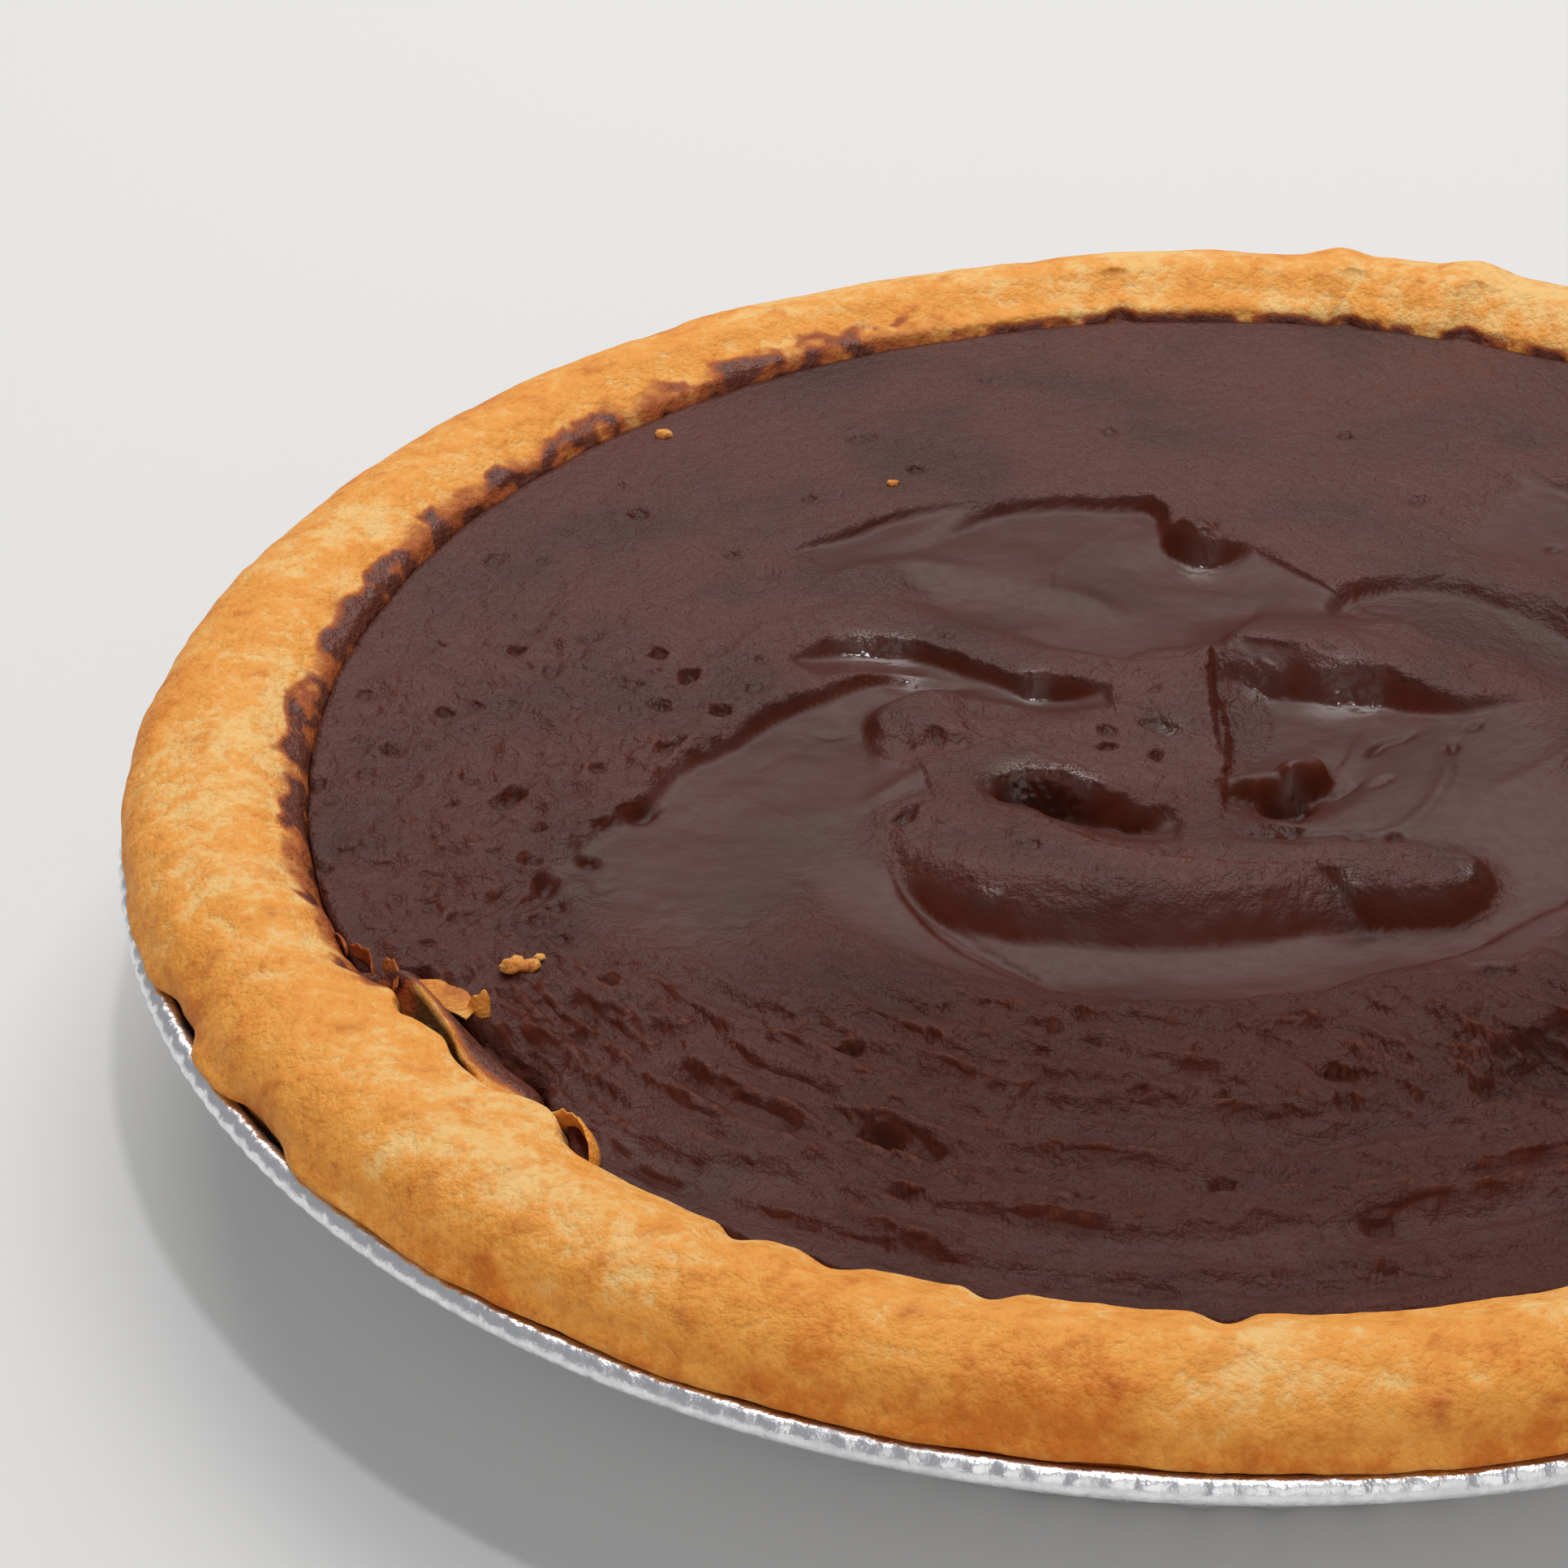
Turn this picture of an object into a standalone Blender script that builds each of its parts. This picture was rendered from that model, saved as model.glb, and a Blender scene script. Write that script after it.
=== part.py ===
"""A whole chocolate pie in its own foil tin.

Three solids sit one inside the other: a fluted foil tin with a rolled rim, a baked pastry shell with a
thick uneven rim, and a chocolate filling whose top keeps the sweeps and folds of the spreading knife.
X runs to the right, Y away from the viewer and Z up. The tin stands on Z = 0, centred on the origin.
"""

import math

import bmesh
import bpy
import numpy as np
from mathutils import Vector, noise
from mathutils.geometry import delaunay_2d_cdt

MM = 0.001

# Driving dimensions, in metres
RIM_RADIUS = 0.120        # outside of the rolled foil rim
TIN_HEIGHT = 0.030        # standing height of the foil tin
BASE_RADIUS = 0.0885      # flat base of the tin
BEAD_RADIUS = 0.0014      # rolled rim
FOIL = 0.0006             # wall of the tin
FLUTES = 72               # pleats round the sloping side
FLUTE_DEPTH = 0.0007
GAP = 0.0003              # clearance between touching pieces
PASTRY = 0.0035           # thickness of the pastry under the filling
CRUST_RADIUS = 0.118      # widest part of the pastry rim
FILL_RADIUS = 0.099       # where the filling meets the pastry
CREST = 0.0091            # top of the pastry rim above the foil rim
FILL_LEVEL = 0.0046       # top of the filling above the foil rim

# Sizes that follow from them
RIM_LEVEL = TIN_HEIGHT - BEAD_RADIUS
FLANGE_RADIUS = RIM_RADIUS - 0.0085
FLANGE_TOP = RIM_LEVEL - 0.0007
PASTRY_BASE = FOIL + GAP
PASTRY_FLOOR = PASTRY_BASE + PASTRY

# Where the pastry rim differs round the pie, as degrees from +X towards +Y and millimetres.
# How far its outer side stands out
OUTS = ((0, 1.0), (60, 1.0), (80, 0.6), (110, 0.6), (140, 0.7), (160, 0.8), (172, 1.6), (180, 2.4),
        (188, 2.5), (194, 2.2), (200, 1.5), (206, 0.5), (211, 0.8), (217, 0.3), (224, 0.7), (232, 0.6),
        (240, 0.2), (246, -0.2), (256, 0.3), (266, -0.2), (274, 0.0), (282, 0.4), (300, 0.5), (330, 0.8))
# How far its foot laps over the foil's bead
SKIRTS = ((0, 1.2), (60, 1.0), (160, 1.0), (172, 1.6), (180, 2.1), (188, 2.2), (198, 2.2), (203.5, 2.0),
          (205, 0.1), (208.5, 0.1), (210, 1.9), (213.5, 1.9), (215, 0.1), (219, 0.1), (221, 1.9), (232, 1.7),
          (238, 1.3), (250, 1.0), (256, 1.3), (262, 1.0), (274, 1.1), (280, 1.7), (290, 1.6), (300, 1.2))
# How much higher its crest stands
UPS = ((0, 0.0), (60, -0.2), (90, -0.5), (110, -1.0), (130, -0.9), (150, -0.8), (170, -0.4), (190, 0.0),
       (270, 0.0), (320, 0.2))
# How much further out its inner side lies
INNERS = ((0, 0.0), (60, 0.0), (90, 0.8), (120, 0.8), (150, 0.4), (180, 0.4), (205, 0.0), (240, 0.6),
          (260, 0.9), (290, 0.9), (330, 0.3))
# Two bumps on the far crest, and notches in its inner side: degrees, half width in degrees, millimetres
BUMPS = ((83.2, 2.6, 0.9), (74.2, 3.0, 1.0))
NOTCHES = ((271.1, 2.0, 1.6), (258.6, 2.0, 1.6), (249.5, 2.6, 1.6), (244.0, 2.0, 1.6), (98.0, 2.0, 1.6))

# The torn stretch of the inner pastry edge, in degrees
TEAR_FROM, TEAR_TO = 200.0, 236.0
FLAP_FROM, FLAP_TO = 208.0, 229.5
GAPE_FROM, GAPE_TO = 210.0, 222.0
CURL_FROM, CURL_TO = 228.4, 234.4
DENSE_STEP, COARSE_STEP = 1.5, 4.0

# Spacing of the points over the filling where its top bends, and how far it may bend without them
FINE_SPACING = 0.0034
FLAT_ENOUGH = 0.00020

# Each step that the knife left, in millimetres: rows of x, y, rise of the left side, drop of the right
# side and width of the wall between them; then how far the low side goes before it has climbed back to
# the level, and how far the high side goes before it has sunk back.
STEPS = (
    # the long edge of the big crescent
    (((-76, -36, 0, 0, 3.5), (-71, -29, 0.1, 0.4, 3.5), (-66.5, -21.5, 0.3, 0.9, 2.6),
      (-62, -13.5, 0.5, 1.5, 2), (-58.5, -6, 0.3, 1.4, 1.8), (-54, -1.5, 0.4, 1.6, 2),
      (-49.5, 4.2, 0.4, 1.8, 1.8), (-45, 8.6, 0.4, 1.8, 1.7), (-40, 12.3, 0.4, 1.6, 1.5),
      (-35, 13.8, 0.3, 1.3, 1.4), (-30, 13.2, 0.1, 0.6, 1.2), (-26, 12.8, 0, 0, 1)), 30, 8),
    # the left wall of the rough shelf
    (((-27, 12.6, 0, 0, 1), (-31, 11.9, 0.8, 0.2, 1.2), (-35, 9.8, 1.3, 0.3, 1.2),
      (-38.2, 6.2, 1.5, 0.4, 1.2), (-38.4, 2, 1.4, 0.3, 1.3), (-37.6, -2, 0.9, 0.1, 1.8),
      (-36.8, -6, 0.6, 0, 3), (-36.5, -11, 0.4, 0, 3), (-36.5, -15, 0, 0, 3)), 4, 26),
    # the tongue folded over in the middle: its front, its tip and its back
    (((-37, -13, 0, 0, 2), (-35.6, -17.5, 0.6, 0.4, 1.2), (-34, -22.5, 0.8, 0.6, 1.8),
      (-31.5, -27, 1.3, 1, 3), (-27, -30.6, 1.9, 1.5, 4.2), (-20, -33.2, 2.3, 1.9, 5),
      (-12, -34.2, 2.4, 2, 5), (-4, -34, 2.4, 2, 5), (3, -32.6, 2.3, 1.9, 4.6),
      (8, -30.4, 2.2, 1.7, 3.8), (13, -29.6, 2.1, 1.6, 3.4), (19, -30.2, 2.1, 1.5, 3.6),
      (24, -29.8, 2.1, 1.4, 3.2), (27.6, -26.8, 2.1, 1.2, 2.4), (28.3, -23, 2, 1, 2.2),
      (26.3, -19.8, 1.8, 0.8, 2.2), (21, -18.6, 1.6, 0.7, 2), (14, -18.6, 1.4, 0.6, 1.8),
      (7, -18.8, 1, 0.4, 1.6), (2, -17.8, 0.5, 0.2, 1.6), (-2, -16, 0, 0, 1.6)), 14, 22),
    # the front lip of the crescent
    (((62, 4, 0, 0, 2), (56, -6, 0.2, 0.8, 1.8), (47, -16, 0.2, 1, 1.4), (38, -25.5, 0.25, 1, 1.2),
      (31, -31.5, 0.3, 1.1, 1), (26, -35.5, 0.3, 1.1, 0.9), (20, -39, 0.3, 1.1, 0.9),
      (13, -43, 0.3, 1, 0.9), (8, -45, 0.3, 0.9, 0.9), (1, -46.6, 0.3, 0.8, 0.9),
      (-6, -47, 0.25, 0.7, 0.9), (-12, -46.4, 0.1, 0.3, 1), (-18, -45.5, 0, 0, 1.2)), 20, 7),
    # the upright cut in the middle
    (((0.4, -3, 0, 0, 0.7), (-0.2, 2, 0.2, 0.7, 0.7), (-0.7, 7, 0.3, 1.2, 0.7), (-1, 12, 0.3, 1.6, 0.7),
      (-1.2, 17, 0.3, 1.8, 0.8), (-1.2, 20.5, 0.3, 1.2, 0.9), (-0.5, 23, 0, 0, 1)), 12, 10),
    # the right-hand fold
    (((-3, 15.6, 0, 0, 2), (-0.2, 16.2, 1, 1, 2.2), (3, 16.4, 1.7, 2, 2.8), (8, 15.8, 1.8, 2.7, 3),
      (13, 15, 1.7, 2.8, 2.8), (17.5, 14.2, 1.5, 2.6, 2.4), (21.5, 12.2, 1, 2, 2.2),
      (26, 10.6, 0.8, 1.2, 1.8), (29.5, 10.8, 0.5, 0.6, 1.6), (34, 12, 0.2, 0.3, 2), (40, 13, 0, 0, 2)),
     32, 9),
    # the fold above the middle
    (((-49, 15.6, 0, 0, 1.2), (-46.5, 17.6, 0.3, 1, 1.3), (-43.5, 19.3, 0.5, 1.7, 1.4),
      (-39.5, 19.9, 0.5, 2, 1.5), (-35, 19.2, 0.5, 2, 1.5), (-31, 17.4, 0.5, 1.8, 1.4),
      (-27.8, 15.4, 0.4, 1.3, 1.2), (-24.5, 13.6, 0.4, 1.3, 1.2), (-21, 12.5, 0.5, 1.9, 1.3),
      (-17, 12.1, 0.5, 1.8, 1.3), (-13.8, 12, 0.2, 0.9, 1.2), (-12, 12.2, 0, 0, 1.2)), 7, 7),
    # the upper scoop, its corner and the lump beside it
    (((-43, 38.5, 0, 0, 2.5), (-40, 40.6, 0, 0.4, 2.4), (-36.5, 42.8, 0.1, 0.8, 2.2),
      (-33, 45.8, 0.1, 1.2, 2), (-29.5, 49.3, 0.2, 1.5, 1.9), (-25.5, 52, 0.3, 1.9, 1.9),
      (-20, 53.4, 0.3, 2, 1.9), (-14, 53.8, 0.3, 2, 1.8), (-9.6, 53.8, 0.3, 1.9, 1.6),
      (-7.7, 52, 0.3, 1.7, 1.2), (-7.4, 49, 0.4, 1.4, 1.2), (-6.8, 46, 0.9, 1.4, 1.6),
      (-4.8, 43.4, 1, 1.9, 2), (-1.5, 42, 0.6, 1.9, 2), (1.5, 42.6, 0.3, 1.3, 1.6), (4, 44.6, 0, 0, 1.6)),
     26, 7),
    # the near rim of the scoop
    (((5, 33, 0, 0, 1.6), (3.4, 28.5, 0.2, 0.5, 1.6), (1.2, 24, 0.3, 0.8, 1.5),
      (-1.8, 20.6, 0.3, 0.9, 1.4), (-6, 18.8, 0.3, 0.9, 1.3), (-10.5, 18.2, 0.3, 0.9, 1.3),
      (-16, 19.4, 0.3, 0.8, 1.6), (-21, 21, 0.2, 0.7, 2.4), (-27, 24.2, 0.2, 0.5, 3.4),
      (-33, 25.4, 0.1, 0.3, 3.6), (-38, 26.5, 0, 0, 3.6)), 16, 8),
    # the ridge behind the right-hand fold
    (((11.6, 28.5, 0, 0, 1.4), (12.3, 31, 0.3, 0.9, 1.4), (13.8, 34, 0.3, 1.4, 1.5),
      (17.5, 36.4, 0.3, 1.5, 1.6), (22.5, 37, 0.3, 1.3, 1.7), (28, 35.6, 0.3, 1.3, 1.9),
      (34, 32.4, 0.3, 1.6, 2.4), (40, 28, 0.4, 2, 3), (46, 22, 0.3, 1.8, 3), (52, 14, 0, 0, 3)), 14, 8),
    # the standing peak
    (((-1, -8.6, 0, 0, 1.6), (1.5, -7.8, 0.5, 0.2, 1.8), (4, -7, 1.8, 0.8, 2.4), (7, -6.5, 2.4, 1, 2.4),
      (9.3, -5.6, 2.6, 1, 2.2), (10.8, -3.8, 2.2, 0.9, 1.6), (11, -1.4, 1, 0.6, 1.4), (10, 1, 0, 0, 1.2)),
     5, 4),
    # the wall behind the dark hollow
    (((-27, -8.5, 0, 0, 1.6), (-24, -8.2, 0.3, 0.8, 1.8), (-20, -7.8, 0.4, 1.6, 2.2),
      (-16, -8.6, 0.5, 1.8, 2.4), (-12.5, -10.6, 0.6, 1.6, 2.6), (-9, -13, 0.5, 1.2, 2.4),
      (-5.5, -13.8, 0.3, 0.7, 2), (-3, -14, 0, 0, 2)), 6, 8),
    # the wide sweep that closes the swirl on the right
    (((30, 64, 0, 0, 2), (40, 59, 0.2, 0.8, 2), (52, 52, 0.3, 1.4, 2), (66, 34, 0.3, 1.6, 2),
      (72, 12, 0.3, 1.6, 2), (70, -10, 0.2, 1.2, 2.2), (62, -26, 0.1, 0.5, 2.4), (56, -34, 0, 0, 2.4)),
     24, 9),
)
LEAST_WALL = 2.2     # width of the steepest wall that the spacing of the points can carry
CALM_EDGE = 0.012    # width of the calm band along the pastry
ROLL = 0.0003        # height of the wide gentle waves of the filling

# Each hollow: its middle, half length, half width, turn in degrees and depth
HOLLOWS = (
    (-0.0182, -0.0109, 0.0080, 0.0034, -20.0, 0.0030),
    (-0.0098, -0.0142, 0.0060, 0.0020, -14.0, 0.0014),
    (0.0340, -0.0560, 0.0075, 0.0055, 25.0, 0.0026),
)


def smooth(value):
    """The smooth step from 0 to 1."""
    value = np.clip(value, 0.0, 1.0)
    return value * value * (3.0 - 2.0 * value)


def spline(points, steps=6):
    """A Catmull-Rom curve through the points."""
    rows = [np.array(point, float) for point in points]
    ends = [2 * rows[0] - rows[1], *rows, 2 * rows[-1] - rows[-2]]
    curve = []
    for a, b, c, d in zip(ends, ends[1:], ends[2:], ends[3:]):
        for t in np.arange(steps) / steps:
            curve.append(b + 0.5 * t * (c - a + t * (2 * a - 5 * b + 4 * c - d + t * (3 * (b - c) + d - a))))
    return np.array(curve + [ends[-2]])


def to_path(points, x, y):
    """Distance to the path, positive on its right, and its further numbers where it is nearest."""
    curve = spline(points)
    start, along = curve[:-1], np.diff(curve, axis=0)
    away = np.stack([x, y], -1)[:, None, :] - start[:, :2]
    share = np.clip((away * along[:, :2]).sum(-1) / (along[:, :2] ** 2).sum(-1), 0.0, 1.0)
    off = away - share[..., None] * along[:, :2]
    distance = np.linalg.norm(off, axis=-1)
    nearest = distance.argmin(axis=1)
    rows = np.arange(len(x))
    side = away[rows, nearest, 0] * along[nearest, 1] - away[rows, nearest, 1] * along[nearest, 0]
    numbers = start[nearest, 2:] + share[rows, nearest, None] * along[nearest, 2:]
    return np.copysign(distance[rows, nearest], side), numbers.T


def step_form(path, reach, back, x, y):
    """High on the left of the path and low on its right, both dying away, in millimetres."""
    away, (rise, drop, wall) = to_path(path, x, y)
    wall = np.maximum(wall, LEAST_WALL)
    low = smooth(away / wall + 0.5)
    raised = rise * (1.0 - low) * (1.0 - smooth((-away - wall) / back))
    return raised - drop * low * (1.0 - smooth((away - wall) / reach))


def hollow_form(middle_x, middle_y, half_length, half_width, turn, depth, x, y):
    """An oval dent."""
    c, s = math.cos(math.radians(turn)), math.sin(math.radians(turn))
    u = ((x - middle_x) * c + (y - middle_y) * s) / half_length
    v = ((y - middle_y) * c - (x - middle_x) * s) / half_width
    return -depth * (1.0 - smooth(np.hypot(u, v)))


def filling_relief(x, y):
    """Height of the filling's top above its level, calm towards the pastry."""
    height = MM * sum(step_form(*step, x / MM, y / MM) for step in STEPS)
    height = height + sum(hollow_form(*hollow, x, y) for hollow in HOLLOWS)
    calm = smooth((FILL_RADIUS - np.hypot(x, y)) / CALM_EDGE)
    roll = ROLL * np.sin(x / 0.011 + 1.3) * np.cos(y / 0.013)
    return calm * (height + roll)


def waver(angle, scale, layer):
    """Smooth unevenness round the pie, about -1 to 1, that joins up after a full turn."""
    spot = Vector((math.cos(angle) * scale, math.sin(angle) * scale, layer))
    return 1.6 * noise.noise(spot)


def bump(degrees, at, half_width):
    """1 at an angle, falling to 0 half_width degrees away."""
    apart = (degrees - at + 180.0) % 360.0 - 180.0
    return float(smooth(1.0 - abs(apart) / half_width))


def between(degrees, start, end, ramp):
    """1 between two angles, falling to 0 over the ramp's degrees inside each."""
    return float(smooth((degrees - start) / ramp) * smooth((end - degrees) / ramp))


def around_ring(degrees, knots):
    """A number that varies evenly with the angle between its knots, in metres."""
    at, value = np.array(knots).T
    return MM * float(np.interp(degrees, at, value, period=360.0))


def ring_of(mesh, radii, heights, angles):
    """A ring of points round the axis; a single radius or height stands for all of them."""
    radii, heights, angles = np.broadcast_arrays(radii, heights, angles)
    return [mesh.verts.new((r * math.cos(a), r * math.sin(a), h)) for r, h, a in zip(radii, heights, angles)]


def rim_angles():
    """Angles round the pie, close together along the tear."""
    dense = np.arange(TEAR_FROM, TEAR_TO, DENSE_STEP)
    rest = 360.0 - (TEAR_TO - TEAR_FROM)
    count = round(rest / COARSE_STEP)
    coarse = TEAR_TO + np.arange(count) * rest / count
    return np.radians(np.concatenate([dense, coarse]))


def blend(first, second, share):
    """Points part of the way from the first row of points to the second."""
    return [(a + (c - a) * share, b + (d - b) * share) for (a, b), (c, d) in zip(first, second)]


def outer_profile(angle):
    """Points (radius, height over the foil rim) from the pastry's foot on the tin's flange, over the bead,
    up the outer side and to the crest."""
    degrees = math.degrees(angle) % 360.0
    out = 0.0004 * waver(angle, 3.2, 0.0) + around_ring(degrees, OUTS)
    up = 0.0003 * waver(angle, 2.6, 2.0) + around_ring(degrees, UPS)
    up += MM * sum(height * bump(degrees, at, half) for at, half, height in BUMPS)
    skirt = around_ring(degrees, SKIRTS)
    edge, crest = CRUST_RADIUS, CREST
    return [
        (edge - 0.0016, FLANGE_TOP + GAP - RIM_LEVEL),
        (edge - 0.0012, 0.0004),
        (edge - 0.0008 + 0.22 * skirt, 0.0014 + 0.20 * skirt),
        (edge - 0.0007 + skirt, 0.0020),
        (edge - 0.0010 + 0.8 * out + 0.2 * skirt, 0.0036),
        (edge - 0.0020 + out, 0.0054 + 0.5 * up),
        (edge - 0.0042 + out, crest - 0.0018 + up),
        (edge - 0.0072 + 0.5 * out, crest - 0.0005 + up),
        (edge - 0.0106, crest + up),
    ]


def inner_profile(angle):
    """Points (radius, height over the foil rim) from the crest down to the filling: a plain side, a torn
    one with a groove and a thin flap, or a curl, blended along the tear."""
    degrees = math.degrees(angle) % 360.0
    up = 0.0003 * waver(angle, 2.6, 2.0) + around_ring(degrees, UPS)
    inner = 0.0004 * waver(angle, 4.0, 4.0) + MM * sum(d * bump(degrees, at, half) for at, half, d in NOTCHES)
    crestward = inner + around_ring(degrees, INNERS)
    gape = between(degrees, GAPE_FROM, GAPE_TO, 3.0)
    fill, level, crest = FILL_RADIUS, FILL_LEVEL, CREST
    brow = (fill + 0.0055 + crestward, crest - 0.0007 + up)
    lip = (fill + 0.0018 + 0.5 * inner, crest - 0.0027 + 0.6 * up)
    whole = (brow, (fill + 0.0030 + crestward, crest - 0.0020 + 0.6 * up),
             (fill + 0.0016 + inner, level + 0.0014), (fill + 0.0010 + inner, level + 0.0006),
             (fill + 0.0006 + inner, level - 0.0002), (fill + 0.0003 + 0.5 * inner, level - 0.0014))
    torn = (brow, lip, (fill + 0.0002 + 0.0004 * gape, level + 0.0009 - 0.0034 * gape),
            (fill - 0.0013, level + 0.0010 + 0.0004 * gape), (fill - 0.0032, level + 0.0002),
            (fill - 0.0042, level - 0.0020))
    curled = (brow, lip, (fill + 0.0010, level - 0.0010), (fill - 0.0008, level + 0.0022),
              (fill - 0.0014, level + 0.0010), (fill - 0.0016, level - 0.0014))
    side = blend(whole, torn, between(degrees, FLAP_FROM, FLAP_TO, 2.0))
    return blend(side, curled, between(degrees, CURL_FROM, CURL_TO, 1.5))


def rim_profile(angle):
    """Points (radius, height over the foil rim) over the whole pastry rim, from its foot to the filling."""
    return outer_profile(angle) + inner_profile(angle)


def filling_edge(angle):
    """Radius at which the filling's top ends, just clear of the pastry."""
    return rim_profile(angle)[-1][0] - GAP


def wall_below(edge):
    """Points (radius, height) of the pastry's inner wall below the filling's edge."""
    return ((edge - 0.0008, RIM_LEVEL - 0.004), (BASE_RADIUS - 0.002, PASTRY_FLOOR + 0.002),
            (BASE_RADIUS - 0.006, PASTRY_FLOOR))


def bridge(mesh, first, second):
    """Faces between two rings of equally many points."""
    for i, point in enumerate(first):
        after = (i + 1) % len(first)
        mesh.faces.new((point, first[after], second[after], second[i]))


def cap(mesh, ring, height):
    """Triangles from a ring to a point on the axis."""
    middle = mesh.verts.new((0.0, 0.0, height))
    for i, point in enumerate(ring):
        mesh.faces.new((point, ring[(i + 1) % len(ring)], middle))


def finish(name, mesh, material, sharp_degrees):
    """Turns the bmesh into a named object, shaded smooth apart from its sharp folds."""
    bmesh.ops.triangulate(mesh, faces=mesh.faces)
    bmesh.ops.recalc_face_normals(mesh, faces=mesh.faces)
    data = bpy.data.meshes.new(name)
    mesh.to_mesh(data)
    mesh.free()
    data.materials.append(material)
    data.shade_smooth()
    data.set_sharp_from_angle(angle=math.radians(sharp_degrees))
    part = bpy.data.objects.new(name, data)
    bpy.context.scene.collection.objects.link(part)
    return part


def make_material(name, colour, roughness, metallic):
    material = bpy.data.materials.new(name)
    material.use_nodes = True
    shader = material.node_tree.nodes["Principled BSDF"]
    shader.inputs["Base Color"].default_value = (*colour, 1.0)
    shader.inputs["Roughness"].default_value = roughness
    shader.inputs["Metallic"].default_value = metallic
    return material


def tin_profile():
    """Points (radius, height, share of the flutes) round the foil's section, from the inside of the base,
    up the side, round the rolled bead and back down the outside."""
    foot, top = BASE_RADIUS, FLANGE_RADIUS
    bead = RIM_RADIUS - BEAD_RADIUS
    root = bead - BEAD_RADIUS
    inside = [(foot - 0.003, FOIL, 0.0), (foot - FOIL, 0.0018, 0.5), (top - 0.0012, FLANGE_TOP - 0.0022, 1.0),
              (top, FLANGE_TOP, 0.0), (root, FLANGE_TOP, 0.0)]
    outside = [(top + 0.0002, FLANGE_TOP - FOIL, 0.0), (top - 0.0004, FLANGE_TOP - 0.0030, 1.0),
               (foot + FOIL * 0.5, 0.0012, 0.5), (foot - 0.003, 0.0, 0.0)]
    turns = np.radians(np.linspace(180.0, -90.0, 7))
    roll = [(bead + BEAD_RADIUS * math.cos(t), RIM_LEVEL + BEAD_RADIUS * math.sin(t), 0.0) for t in turns]
    return inside + roll + outside


def foil_tin():
    """The tin: a turned section whose sloping side is pleated."""
    mesh = bmesh.new()
    angles = np.arange(2 * FLUTES) * math.pi / FLUTES
    pleats = np.tile((FLUTE_DEPTH, -FLUTE_DEPTH), FLUTES)
    rings = [ring_of(mesh, radius + share * pleats, height, angles)
             for radius, height, share in tin_profile()]
    for lower, upper in zip(rings, rings[1:]):
        bridge(mesh, lower, upper)
    cap(mesh, rings[0], FOIL)
    cap(mesh, rings[-1], 0.0)
    return finish("foil_tin", mesh, make_material("foil", (0.80, 0.81, 0.83), 0.28, 1.0), 35.0)


def crust():
    """The pastry: a shell that lines the tin, with a thick rim resting on the tin's flange."""
    mesh = bmesh.new()
    angles = rim_angles()
    profiles = np.array([rim_profile(a) for a in angles])
    top = FLANGE_RADIUS - 0.0012 - FLUTE_DEPTH - GAP
    lining = ((BASE_RADIUS - 0.0034, PASTRY_BASE), (BASE_RADIUS - 0.0016 - FLUTE_DEPTH, 0.0022),
              (top, FLANGE_TOP - 0.0022 + GAP), (FLANGE_RADIUS - GAP, FLANGE_TOP + GAP))
    rings = [ring_of(mesh, radius, height, angles) for radius, height in lining]
    for radii, heights in profiles.transpose(1, 2, 0):
        rings.append(ring_of(mesh, radii, RIM_LEVEL + heights, angles))
    for radii, height in wall_below(profiles[:, -1, 0]):
        rings.append(ring_of(mesh, radii, height, angles))
    for lower, upper in zip(rings, rings[1:]):
        bridge(mesh, lower, upper)
    cap(mesh, rings[0], PASTRY_BASE)
    cap(mesh, rings[-1], PASTRY_FLOOR)
    return finish("crust", mesh, make_material("baked_pastry", (0.72, 0.42, 0.17), 0.62, 0.0), 60.0)


def spread_points(angles, edges):
    """Points over the filling in staggered rows: a wide spacing, and the fine one where the top bends."""
    reach = int(FILL_RADIUS / (FINE_SPACING * math.cos(math.pi / 6)))
    column, row = (part.ravel() for part in np.meshgrid(*2 * [np.arange(-reach, reach + 1)]))
    x = (column + 0.5 * (row % 2)) * FINE_SPACING
    y = row * FINE_SPACING * math.cos(math.pi / 6)
    wide = (row % 2 == 0) & ((column - row // 2) % 2 == 0)
    edge = np.interp(np.arctan2(y, x), angles, edges, period=2 * math.pi)
    inside = np.hypot(x, y) < edge - FINE_SPACING
    x, y, wide = x[inside], y[inside], wide[inside]
    around = [filling_relief(x + dx, y + dy) for dx, dy in
              ((FINE_SPACING, 0), (-FINE_SPACING, 0), (0, FINE_SPACING), (0, -FINE_SPACING))]
    bent = np.abs(sum(around) / len(around) - filling_relief(x, y)) > FLAT_ENOUGH
    return x[wide | bent], y[wide | bent]


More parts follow.
